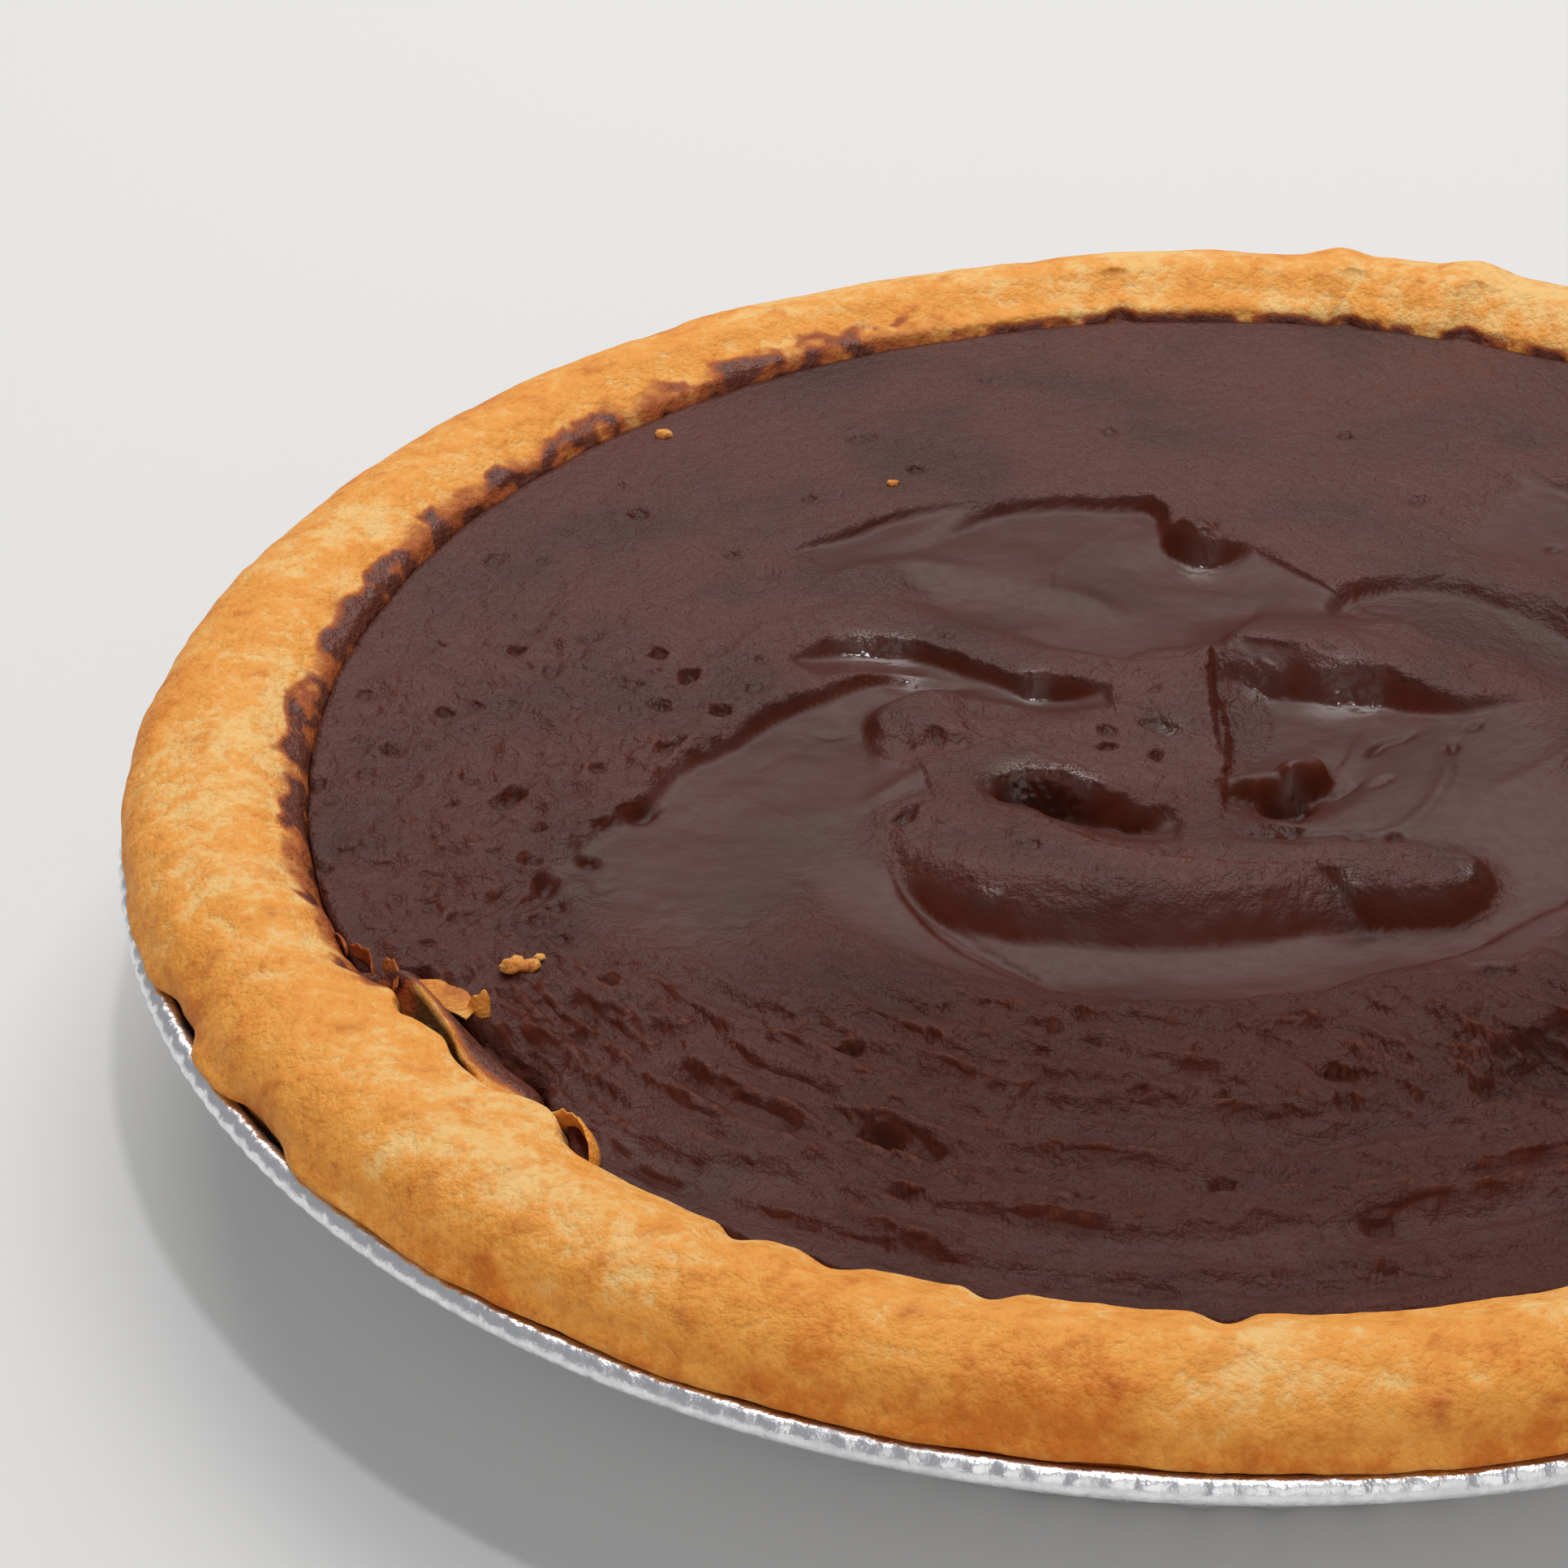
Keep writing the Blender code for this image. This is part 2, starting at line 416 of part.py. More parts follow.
def filling():
    """The chocolate: it fills the pastry shell, and its top carries the relief."""
    mesh = bmesh.new()
    angles = rim_angles()
    edges = np.array([filling_edge(a) for a in angles])
    x, y = spread_points(angles, edges)
    x = np.concatenate([edges * np.cos(angles), x])
    y = np.concatenate([edges * np.sin(angles), y])
    z = RIM_LEVEL + FILL_LEVEL + filling_relief(x, y)
    spots, outline = [Vector(p) for p in zip(x, y)], [list(range(len(angles)))]
    flat, _, faces, *_ = delaunay_2d_cdt(spots, [], outline, 1, 1e-7)
    if len(flat) != len(x):
        raise ValueError("two points of the filling's top coincide")
    top = [mesh.verts.new(p) for p in zip(x, y, z)]
    for face in faces:
        mesh.faces.new([top[i] for i in face])
    rings = [top[:len(angles)]]
    rings.append(ring_of(mesh, edges, RIM_LEVEL + FILL_LEVEL - 0.0012, angles))
    for step, (radii, height) in enumerate(wall_below(edges + GAP)):
        rings.append(ring_of(mesh, radii - GAP, height + (GAP if step else 0.0), angles))
    for lower, upper in zip(rings, rings[1:]):
        bridge(mesh, lower, upper)
    cap(mesh, rings[-1], PASTRY_FLOOR + GAP)
    return finish("filling", mesh, make_material("chocolate", (0.060, 0.028, 0.020), 0.35, 0.0), 60.0)


def main():
    for old in list(bpy.data.objects):
        bpy.data.objects.remove(old)
    foil_tin()
    crust()
    filling()


main()
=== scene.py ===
"""The looks of a whole chocolate pie in its foil tin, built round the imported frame.

Three fine pieces stand for the three solids: the fluted foil tin, the baked pastry and the chocolate
filling. Small pieces go with them: the curl and the flakes of torn pastry, and the crumbs on top.
X runs to the right, Y away from the camera and Z up, as in the frame. Lengths are in metres, and in
millimetres in the tables of strokes, pits, flakes and crumbs.
"""

import logging
import math
from dataclasses import dataclass
from enum import Enum

import bpy
import numpy as np
from mathutils import Matrix, Vector


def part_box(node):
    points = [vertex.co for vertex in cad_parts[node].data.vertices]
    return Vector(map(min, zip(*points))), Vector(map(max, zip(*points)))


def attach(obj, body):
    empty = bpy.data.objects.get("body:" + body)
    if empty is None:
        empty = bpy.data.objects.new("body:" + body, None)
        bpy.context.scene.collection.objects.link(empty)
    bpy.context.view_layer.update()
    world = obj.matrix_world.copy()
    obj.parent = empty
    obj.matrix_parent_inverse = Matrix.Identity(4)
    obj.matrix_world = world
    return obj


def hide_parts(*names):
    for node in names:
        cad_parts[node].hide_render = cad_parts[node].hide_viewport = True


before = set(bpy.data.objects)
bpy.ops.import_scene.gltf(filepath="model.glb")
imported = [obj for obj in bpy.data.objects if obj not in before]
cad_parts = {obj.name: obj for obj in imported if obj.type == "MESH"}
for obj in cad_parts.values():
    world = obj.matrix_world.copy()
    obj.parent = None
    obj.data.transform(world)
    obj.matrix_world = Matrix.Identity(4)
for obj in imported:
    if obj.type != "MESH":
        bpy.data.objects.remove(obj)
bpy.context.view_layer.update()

LOG = logging.getLogger("pie")
BODY = "root"
MM = 0.001

# Levels and radii shared by the pieces, taken from the frame where it has them
RIM_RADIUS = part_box("foil_tin")[1].x
TIN_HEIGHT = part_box("foil_tin")[1].z
BEAD_RADIUS = 1.4 * MM
RIM_LEVEL = TIN_HEIGHT - BEAD_RADIUS
FLANGE_TOP = RIM_LEVEL - 0.7 * MM
BASE_RADIUS = RIM_RADIUS - 31.5 * MM
FLANGE_RADIUS = RIM_RADIUS - 8.5 * MM
FOIL = 0.6 * MM
GAP = 0.3 * MM
CRUST_RADIUS = 118.0 * MM
FILL_RADIUS = 99.0 * MM
CREST = 9.1 * MM
FILL_LEVEL = 4.6 * MM
PASTRY_FLOOR = FOIL + GAP + 3.5 * MM

Array = np.ndarray
Colour = tuple[float, float, float]
Knots = tuple[tuple[float, float], ...]


def smooth(value: Array) -> Array:
    """The smooth step from 0 to 1: t squared times 3 minus 2t, with t held between 0 and 1."""
    value = np.clip(value, 0.0, 1.0)
    return value * value * (3.0 - 2.0 * value)


def within(value: Array, start: float, rising: float, end: float, falling: float) -> Array:
    """1 between a start and an end, and 0 outside them.

    Args:
        value: the numbers tested.
        start: where it leaves 0.
        rising: how far after the start it reaches 1.
        end: where it is back at 0.
        falling: how far before the end it leaves 1.

    Returns:
        The product of the two smooth steps.
    """
    return smooth((value - start) / rising) * smooth((end - value) / falling)


def turns(count: int) -> Array:
    """Angles of a number of points spaced evenly round a circle."""
    return np.arange(count) * 2 * math.pi / count


def split(start: tuple[float, float], end: tuple[float, float], share: float) -> tuple[float, float]:
    """The point at a share of the way from one point to another."""
    return start[0] + share * (end[0] - start[0]), start[1] + share * (end[1] - start[1])


class Unevenness:
    """Smooth seeded noise in space, from random slopes on a lattice, blended by a fifth-power step."""

    def __init__(self, seed: int, size: int = 32) -> None:
        """Draws the slopes of a repeating lattice.

        Args:
            seed: the start of the random draw.
            size: how many cells the lattice has before it repeats.
        """
        slopes = np.random.default_rng(seed).normal(size=(size, size, size, 3))
        self.slopes = slopes / np.linalg.norm(slopes, axis=-1, keepdims=True)
        self.size = size

    def at(self, x: Array, y: Array, z: Array | float = 0.0) -> Array:
        """Noise of about -1 to 1, one lattice cell for each unit.

        Args:
            x: first coordinate, in cells.
            y: second coordinate, in cells.
            z: third coordinate, in cells.

        Returns:
            The noise at each point.
        """
        spot = np.stack(np.broadcast_arrays(x, y, z), axis=-1).astype(float)
        cell = np.floor(spot).astype(int)
        part = spot - cell
        ease = part**3 * (part * (part * 6.0 - 15.0) + 10.0)
        total = np.zeros(spot.shape[:-1])
        for corner in np.ndindex(2, 2, 2):
            place = (cell + corner) % self.size
            slope = self.slopes[place[..., 0], place[..., 1], place[..., 2]]
            weight = np.prod(np.where(corner, ease, 1.0 - ease), axis=-1)
            total += weight * ((part - corner) * slope).sum(-1)
        return 1.6 * total

    def layers(self, x: Array, y: Array, z: Array | float = 0.0, count: int = 3,
               gain: float = 0.5) -> Array:
        """Noise summed over layers, each twice as fine and gain times as strong.

        Args:
            x: first coordinate, in cells of the widest layer.
            y: second coordinate.
            z: third coordinate.
            count: how many layers.
            gain: strength of each layer against the one before.

        Returns:
            The summed noise.
        """
        return sum(gain**k * self.at(x * 2**k, y * 2**k, z * 2**k + 7.3 * k) for k in range(count))


def spline(points: Array | tuple[tuple[float, ...], ...], steps: int) -> Array:
    """A Catmull-Rom curve through the points, each stretch a cubic whose slopes follow the neighbours.

    Args:
        points: the points that it passes.
        steps: samples for each stretch.

    Returns:
        The samples, one row each.
    """
    p = np.array(points, float)
    p = np.vstack([2 * p[0] - p[1], p, 2 * p[-1] - p[-2]])
    t = (np.arange(steps) / steps)[:, None]
    a, b, c, d = (p[i:len(p) - 3 + i, None, :] for i in range(4))
    curve = b + 0.5 * t * (c - a + t * (2 * a - 5 * b + 4 * c - d + t * (3 * (b - c) + d - a)))
    return np.vstack([curve.reshape(-1, p.shape[1]), p[-2]])


@dataclass(frozen=True)
class Path:
    """A line on the filling, in millimetres: rows of x, y and the numbers that vary along it."""

    rows: tuple[tuple[float, ...], ...]

    def near(self, x: Array, y: Array, margin: float) -> Array:
        """Which points lie within a margin of the box round the line.

        Args:
            x: plan positions, in millimetres.
            y: plan positions, in millimetres.
            margin: the margin, in millimetres.

        Returns:
            True at those points.
        """
        plan = np.array([row[:2] for row in self.rows])
        low, high = plan.min(axis=0) - margin, plan.max(axis=0) + margin
        return (x > low[0]) & (x < high[0]) & (y > low[1]) & (y < high[1])

    def to(self, x: Array, y: Array) -> tuple[Array, Array]:
        """Distance to the line, and the numbers kept where it is nearest.

        Args:
            x: plan positions, in millimetres.
            y: plan positions, in millimetres.

        Returns:
            The distance, positive on the line's right, and one array for each further number.
        """
        curve = spline(self.rows, 6)
        best = np.full(x.shape, np.inf)
        signed = np.zeros(x.shape)
        kept = np.zeros((curve.shape[1] - 2, *x.shape))
        for start, end in zip(curve[:-1], curve[1:]):
            ax, ay = end[:2] - start[:2]
            px, py = x - start[0], y - start[1]
            t = np.clip((px * ax + py * ay) / (ax * ax + ay * ay), 0.0, 1.0)
            far = np.hypot(px - t * ax, py - t * ay)
            nearer = far < best
            best = np.where(nearer, far, best)
            signed = np.where(nearer, np.copysign(far, px * ay - py * ax), signed)
            for number, (low, high) in enumerate(zip(start[2:], end[2:])):
                kept[number] = np.where(nearer, low + t * (high - low), kept[number])
        return signed, kept


THINNEST_WALL = 0.3
DROP_WANDER = 0.3


@dataclass(frozen=True)
class Step:
    """A wall that the knife left: high on the left of its path and low on the right.

    Attributes:
        path: rows of x, y, rise of the left side, drop of the right side and width of the wall.
        reach: how far the low side goes before it has climbed back to the level.
        back: how far the high side goes before it has sunk back to the level.
        calm: how smooth the knife left the low side, from 0 to 1.
        ragged: how far the wall wanders, in millimetres.
        crisp: 1 for a wall that breaks sharply at its upper edge, 0 for one rounded at both, -1 for one
            that bulges and stops sharply at its foot. A sixth number in the path's rows takes its place.
        soft: how many times as wide as its number the wall is, its foot staying where it is.
    """

    path: Path
    reach: float
    back: float = 8.0
    calm: float = 1.0
    ragged: float = 0.25
    crisp: float = -0.7
    soft: float = 1.7

    def form(self, x: Array, y: Array, wander: Array) -> tuple[Array, Array]:
        """Height of the step, and how smooth it leaves the filling.

        With t running from 0 at the wall's shoulder to 1 at its foot and s a blend of its smooth step and
        either 1 minus the square of 1 minus t or the square of t, the height is the rise times 1 minus s,
        dying away over the back, minus the drop times s, dying away over the reach.

        Args:
            x: plan positions, in millimetres.
            y: plan positions, in millimetres.
            wander: noise that makes the wall ragged.

        Returns:
            The height in millimetres, and the smoothness from 0 to 1.
        """
        height, smoothness = np.zeros(x.shape), np.zeros(x.shape)
        near = self.path.near(x, y, max(self.reach, self.back) + 5.0)
        away, (rise, drop, wall, *crisp) = self.path.to(x[near], y[near])
        away = away + self.ragged * wander[near]
        wall = np.maximum(wall, THINNEST_WALL)
        wide = wall * self.soft
        drop = drop * (1.0 + DROP_WANDER * self.ragged * np.clip(wander[near], -0.9, 0.9))
        part = np.clip((away - 0.5 * wall) / wide + 1.0, 0.0, 1.0)
        crisp = crisp[0] if crisp else np.full(part.shape, self.crisp)
        sharp = np.where(crisp > 0.0, 1.0 - (1.0 - part) ** 2, part ** 2)
        low = np.abs(crisp) * sharp + (1.0 - np.abs(crisp)) * smooth(part)
        sunk = drop * low * (1.0 - smooth((away - wall) / self.reach))
        raised = rise * (1.0 - low) * (1.0 - smooth((-away - wide) / self.back))
        height[near] = raised - sunk
        edge = smooth((away - 0.5 * wall) / (0.8 * wide) + 1.0)
        edge *= 1.0 - smooth((away / self.reach - 0.6) / 0.45)
        smoothness[near] = self.calm * edge * smooth(drop / 0.7)
        return height, smoothness


@dataclass(frozen=True)
class Crease:
    """A narrow line pressed into the filling, or a soft ridge where its depth is negative.

    Attributes:
        path: rows of x, y and depth.
        width: half width at which the depth has fallen to about a third.
    """

    path: Path
    width: float

    def form(self, x: Array, y: Array) -> Array:
        """Height: minus the depth times a bell of the distance over the width.

        Args:
            x: plan positions, in millimetres.
            y: plan positions, in millimetres.

        Returns:
            The height in millimetres.
        """
        height = np.zeros(x.shape)
        near = self.path.near(x, y, 3.0 * self.width)
        away, (depth,) = self.path.to(x[near], y[near])
        height[near] = -depth * np.exp(-((away / self.width) ** 2))
        return height


@dataclass(frozen=True)
class Pit:
    """An oval dent or a bubble's hole, or a lump where its depth is negative, in millimetres.

    Attributes:
        x: its place to the right.
        y: its place away from the viewer.
        half_length: half its length.
        half_width: half its width.
        turn: angle of its length, in degrees.
        depth: how deep its middle is.
        fall: 2 for a soft bowl; less for one with a fuller floor and steeper sides.
    """

    x: float
    y: float
    half_length: float
    half_width: float
    turn: float
    depth: float
    fall: float = 2.0

    def form(self, x: Array, y: Array) -> Array:
        """Height: minus the depth times a power of 1 minus the squared distance, counted in 1.25 half
        lengths and widths. The power is the fall.

        Args:
            x: plan positions, in millimetres.
            y: plan positions, in millimetres.

        Returns:
            The height in millimetres.
        """
        c, s = math.cos(math.radians(self.turn)), math.sin(math.radians(self.turn))
        u = ((x - self.x) * c + (y - self.y) * s) / (1.25 * self.half_length)
        v = ((y - self.y) * c - (x - self.x) * s) / (1.25 * self.half_width)
        return -self.depth * np.clip(1.0 - u * u - v * v, 0.0, 1.0) ** self.fall


class Slot(Enum):
    """Material slots of the record."""

    FOIL = "foil"
    PASTRY = "baked_pastry"
    CHOCOLATE = "chocolate"


def make_object(name: str, points: Array, faces: Array,
                values: dict[str, Array] | None = None) -> bpy.types.Object:
    """A mesh object at the origin, shaded smooth.

    Args:
        name: its name.
        points: its vertices, in metres.
        faces: its faces, as rows of vertex numbers.
        values: numbers kept at its vertices, by attribute name.

    Returns:
        The new object.
    """
    mesh = bpy.data.meshes.new(name)
    mesh.vertices.add(len(points))
    mesh.vertices.foreach_set("co", np.asarray(points, np.float32).ravel())
    sides = faces.shape[1]
    mesh.loops.add(faces.size)
    mesh.loops.foreach_set("vertex_index", faces.astype(np.int32).ravel())
    mesh.polygons.add(len(faces))
    mesh.polygons.foreach_set("loop_start", np.arange(0, faces.size, sides, dtype=np.int32))
    mesh.polygons.foreach_set("loop_total", np.full(len(faces), sides, np.int32))
    mesh.update(calc_edges=True)
    for key, value in (values or {}).items():
        kept = mesh.attributes.new(key, "FLOAT", "POINT")
        kept.data.foreach_set("value", value.astype(np.float32).ravel())
    mesh.validate()
    mesh.shade_smooth()
    made = bpy.data.objects.new(name, mesh)
    bpy.context.scene.collection.objects.link(made)
    return made


def tube_triangles(rings: int, around: int) -> Array:
    """Triangles of a tube of rings laid one after the other, each closed on itself, and of the fans that
    close its ends to two more points, laid after the rings.

    Args:
        rings: how many rings.
        around: how many points each has.

    Returns:
        The triangles, facing out where the rings run up the outside.
    """
    count = rings * around
    ring, step = np.meshgrid(np.arange(rings - 1), np.arange(around), indexing="ij")
    here, after = ring * around + step, ring * around + (step + 1) % around
    quads = np.stack([here, after, after + around, here + around], -1).reshape(-1, 4)
    step = np.arange(around)
    after = (step + 1) % around
    first = np.stack([after, step, np.full(around, count)], -1)
    last = np.stack([step + count - around, after + count - around, np.full(around, count + 1)], -1)
    return np.vstack([quads[:, [0, 1, 2]], quads[:, [0, 2, 3]], first, last])


def closed_at_poles(name: str, points: Array, around: int, first: float, last: float,
                    values: dict[str, Array] | None = None) -> bpy.types.Object:
    """An object from rings of points, closed by a fan to the axis at the first and the last ring.

    Args:
        name: the object's name.
        points: the rings' points, in metres, ring after ring.
        around: how many points a ring has.
        first: height of the first ring's middle.
        last: height of the last ring's middle.
        values: numbers at the points, by name.

    Returns:
        The object, of triangles, facing out.
    """
    triangles = tube_triangles(len(points) // around, around)
    points = np.vstack([points, [[0.0, 0.0, first], [0.0, 0.0, last]]])
    values = {key: np.concatenate([value.ravel(), np.zeros(2)]) for key, value in (values or {}).items()}
    return make_object(name, points, triangles, values)


def put(piece: bpy.types.Object, material: bpy.types.Material,
        node: str | None = None) -> None:
    """Dresses a piece, makes it ride on the body and hides the solid that it replaces.

    Args:
        piece: the piece.
        material: its finish.
        node: the solid that it replaces, if any.
    """
    piece.data.materials.append(material)
    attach(piece, BODY)
    if node:
        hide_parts(node)
    LOG.info("%s: %d faces", piece.name, len(piece.data.polygons))


class Wiring:
    """Short ways to place and join the nodes of one material or group."""

    def __init__(self, tree: bpy.types.NodeTree) -> None:
        """Works on the tree given."""
        self.tree = tree

    def add(self, kind: str, settings: dict | None = None, **inputs: object) -> bpy.types.Node:
        """Places a node.

        Args:
            kind: the node's type.
            settings: its properties.
            inputs: its sockets by name, with _ for a space, each a value or a socket to join.

        Returns:
            The node.
        """
        node = self.tree.nodes.new(kind)
        for key, value in (settings or {}).items():
            setattr(node, key, value)
        for key, value in inputs.items():
            self.feed(node.inputs[key.replace("_", " ")], value)
        return node

    def feed(self, socket: bpy.types.NodeSocket, value: object) -> None:
        """Joins a socket to another, or sets its value.

        Args:
            socket: the socket fed.
            value: a socket, a number or a colour.
        """
        if isinstance(value, bpy.types.NodeSocket):
            self.tree.links.new(value, socket)
        elif isinstance(value, tuple) and len(value) == 3 and socket.type == "RGBA":
            socket.default_value = (*value, 1.0)
        else:
            socket.default_value = value

    def maths(self, operation: str, first: object, second: object = 0.0,
              clamp: bool = False) -> bpy.types.NodeSocket:
        """The result of one sum.

        Args:
            operation: which sum.
            first: a value or a socket.
            second: a value or a socket.
            clamp: whether the result is held between 0 and 1.

        Returns:
            The socket that gives it.
        """
        node = self.add("ShaderNodeMath", {"operation": operation, "use_clamp": clamp})
        self.feed(node.inputs[0], first)
        self.feed(node.inputs[1], second)
        return node.outputs[0]

    def times(self, value: object, factor: object, clamp: bool = False) -> bpy.types.NodeSocket:
        """A value times a factor."""
        return self.maths("MULTIPLY", value, factor, clamp)

    def plus(self, total: object, value: object, factor: object,
             clamp: bool = False) -> bpy.types.NodeSocket:
        """A total plus a value times a factor."""
        return self.maths("ADD", total, self.times(value, factor), clamp)

    def mix(self, share: object, first: object, second: object) -> bpy.types.NodeSocket:
        """A mix of two colours.

        Args:
            share: how much of the second it takes.
            first: a colour or a socket.
            second: a colour or a socket.

        Returns:
            The socket that gives it.
        """
        node = self.add("ShaderNodeMix", {"data_type": "RGBA"})
        self.feed(node.inputs[0], share)
        self.feed(node.inputs[6], first)
        self.feed(node.inputs[7], second)
        return node.outputs[2]

    def ranged(self, value: object, low: float, high: float, to_low: float = 0.0,
               to_high: float = 1.0) -> bpy.types.NodeSocket:
        """A value carried smoothly from one range to another, and held at its ends.

        Args:
            value: the value.
            low: where its range starts.
            high: where its range ends.
            to_low: the result at the start.
            to_high: the result at the end.

        Returns:
            The socket that gives it.
        """
        node = self.add("ShaderNodeMapRange", {"interpolation_type": "SMOOTHSTEP"})
        for socket, number in zip(node.inputs, (value, low, high, to_low, to_high)):
            self.feed(socket, number)
        return node.outputs[0]

    def value(self, name: str) -> bpy.types.NodeSocket:
        """A number kept at the mesh's vertices."""
        return self.add("ShaderNodeAttribute", {"attribute_name": name}).outputs["Fac"]

    def noise(self, scale: object, detail: float, roughness: float = 0.5) -> bpy.types.NodeSocket:
        """Noise over the piece, of a number of cells a metre."""
        place = self.add("ShaderNodeTexCoord").outputs["Object"]
        return self.add("ShaderNodeTexNoise", Vector=place, Scale=scale, Detail=detail,
                        Roughness=roughness).outputs["Fac"]

    def dent(self, shader: bpy.types.Node, height: object, strength: float, distance: float) -> None:
        """Dents a shader's surface by a height."""
        node = self.add("ShaderNodeBump", Strength=strength, Distance=distance, Height=height)
        self.feed(shader.inputs["Normal"], node.outputs["Normal"])


def blank_material(name: str) -> tuple[bpy.types.Material, Wiring, bpy.types.Node]:
    """A new material, the wiring of its nodes and its shader."""
    made = bpy.data.materials.new(name)
    made.use_nodes = True
    return made, Wiring(made.node_tree), made.node_tree.nodes["Principled BSDF"]


def grain_group() -> bpy.types.NodeTree:
    """The fine grain that every finish shares: two layers of noise, as a height and a mask.

    Returns:
        The group, whose Size is in cells a metre.
    """
    tree = bpy.data.node_groups.new("fine_grain", "ShaderNodeTree")
    tree.interface.new_socket("Size", in_out="INPUT", socket_type="NodeSocketFloat")
    tree.interface.new_socket("Height", in_out="OUTPUT", socket_type="NodeSocketFloat")
    tree.interface.new_socket("Mask", in_out="OUTPUT", socket_type="NodeSocketFloat")
    wire = Wiring(tree)
    size = wire.add("NodeGroupInput").outputs["Size"]
    coarse = wire.noise(size, 3.0, 0.6)
    fine = wire.noise(wire.times(size, 2.7), 2.0, 0.6)
    height = wire.plus(wire.times(coarse, 0.7), fine, 0.3)
    out = wire.add("NodeGroupOutput")
    wire.feed(out.inputs["Height"], height)
    wire.feed(out.inputs["Mask"], wire.ranged(height, 0.42, 0.60))
    return tree


@dataclass(frozen=True)
class ChocolateFinish:
    """Set chocolate filling: dark, satin where the knife smoothed it and duller where it is rough.

    Attributes:
        deep: colour of its dark clouds and, in part, of the smooth places and of the painted shade towards
            the front.
        body: its main colour.
        lit_crest: painted light: the lighter, redder colour of the crests, as if lit through their thin
            edges.
        wall: painted shade: the darker, redder colour of the steep walls, where less light falls.
        pit: painted shade: the dark colour in the dips and pits.
        smooth_gloss: roughness where the knife smoothed it.
        rough_gloss: roughness elsewhere.
        wall_gloss: roughness of the steep walls.
        wet_gloss: roughness of the wet places.
        grain_gloss: roughness that the grain adds.
        darker: how much of the deep colour the smooth places and the painted front shade take.
        crest_lighting: how much of the painted crest light the crests take.
        walls: how much of the painted wall shade the walls take, outside and inside the painted front
            shade.
        dip_shading: how much of the painted pit shade the dips and pits take.
        shine: strength of the reflections.
        duller: how much of it the smooth places, the shaded front and the walls lose.
        wetter: how much the wet places gain.
        index: refractive index.
        sizes: cells a metre of the clouds, the grain and the drops.
        relief: strength and depth of the grain.
    """

    deep: Colour = (0.054, 0.0120, 0.0068)
    body: Colour = (0.094, 0.0208, 0.0112)
    lit_crest: Colour = (0.190, 0.048, 0.020)
    wall: Colour = (0.076, 0.0140, 0.0056)
    pit: Colour = (0.034, 0.0075, 0.0038)
    smooth_gloss: float = 0.42
    rough_gloss: float = 0.52
    wall_gloss: float = 0.40
    wet_gloss: float = 0.19
    grain_gloss: float = 0.06
    darker: tuple[float, float] = (0.45, 0.62)
    crest_lighting: float = 0.42
    walls: tuple[float, float] = (0.50, 0.25)
    dip_shading: float = 0.55
    shine: float = 0.48
    duller: tuple[float, float, float] = (0.12, 0.25, 0.72)
    wetter: float = 0.60
    index: float = 1.42
    sizes: tuple[float, float, float] = (55.0, 620.0, 520.0)
    relief: tuple[float, float] = (0.8, 1.1 * MM)

    def material(self, grain: bpy.types.NodeTree) -> bpy.types.Material:
        """Builds the material.

        Args:
            grain: the shared grain group.

        Returns:
            The material, which reads the attributes calm, lip, dip_shade, steep, front_shade and wet; its
            colour carries painted light on the crests and painted shade in the dips, on the steep walls and
            towards the front.
        """
        made, wire, shader = blank_material("set_chocolate")
        calm, lip, dip_shade, steep, front_shade, wet = (
            wire.value(key) for key in ("calm", "lip", "dip_shade", "steep", "front_shade", "wet"))
        cloud, drops = wire.noise(self.sizes[0], 4.0), wire.noise(self.sizes[2], 1.0)
        speck = wire.add("ShaderNodeGroup", {"node_tree": grain}, Size=self.sizes[1])
        # the smooth places take part of the deep colour, and so does the front as painted shade
        darker = wire.plus(wire.times(calm, self.darker[0]), front_shade, self.darker[1], True)
        # painted shade: the steep walls take a darker, redder colour, less of it towards the front
        wall = wire.times(steep, wire.ranged(front_shade, 0.0, 1.0, *self.walls))
        tone = wire.mix(wire.ranged(cloud, 0.25, 0.60), self.deep, self.body)
        tone = wire.mix(darker, tone, self.deep)
        # painted light: the crests take a lighter, redder colour
        tone = wire.mix(wire.times(lip, self.crest_lighting, True), tone, self.lit_crest)
        tone = wire.mix(wall, tone, self.wall)
        # painted shade: the dips and pits take a dark colour
        tone = wire.mix(wire.times(dip_shade, self.dip_shading, True), tone, self.pit)
        wire.feed(shader.inputs["Base Color"], tone)
        gloss = wire.ranged(calm, 0.0, 1.0, self.rough_gloss, self.smooth_gloss)
        gloss = wire.plus(gloss, speck.outputs["Mask"], self.grain_gloss)
        gloss = wire.plus(gloss, steep, self.wall_gloss - self.rough_gloss)
        gloss = wire.plus(gloss, wet, self.wet_gloss - self.rough_gloss)
        wire.feed(shader.inputs["Roughness"], wire.maths("MAXIMUM", gloss, self.wet_gloss))
        shader.inputs["IOR"].default_value = self.index
        shine = wire.times(wet, self.wetter)
        for value, loss in zip((calm, front_shade, wall), self.duller):
            shine = wire.plus(shine, value, -loss)
        wire.feed(shader.inputs["Specular IOR Level"], wire.maths("ADD", self.shine, shine))
        relief = wire.ranged(calm, 0.0, 1.0, 1.0, 0.10)
        relief = wire.times(relief, wire.ranged(steep, 0.0, 1.0, 1.0, 0.25))
        height = wire.times(speck.outputs["Height"], relief)
        wire.dent(shader, wire.plus(height, drops, wire.times(wet, 0.6)), *self.relief)
        return made


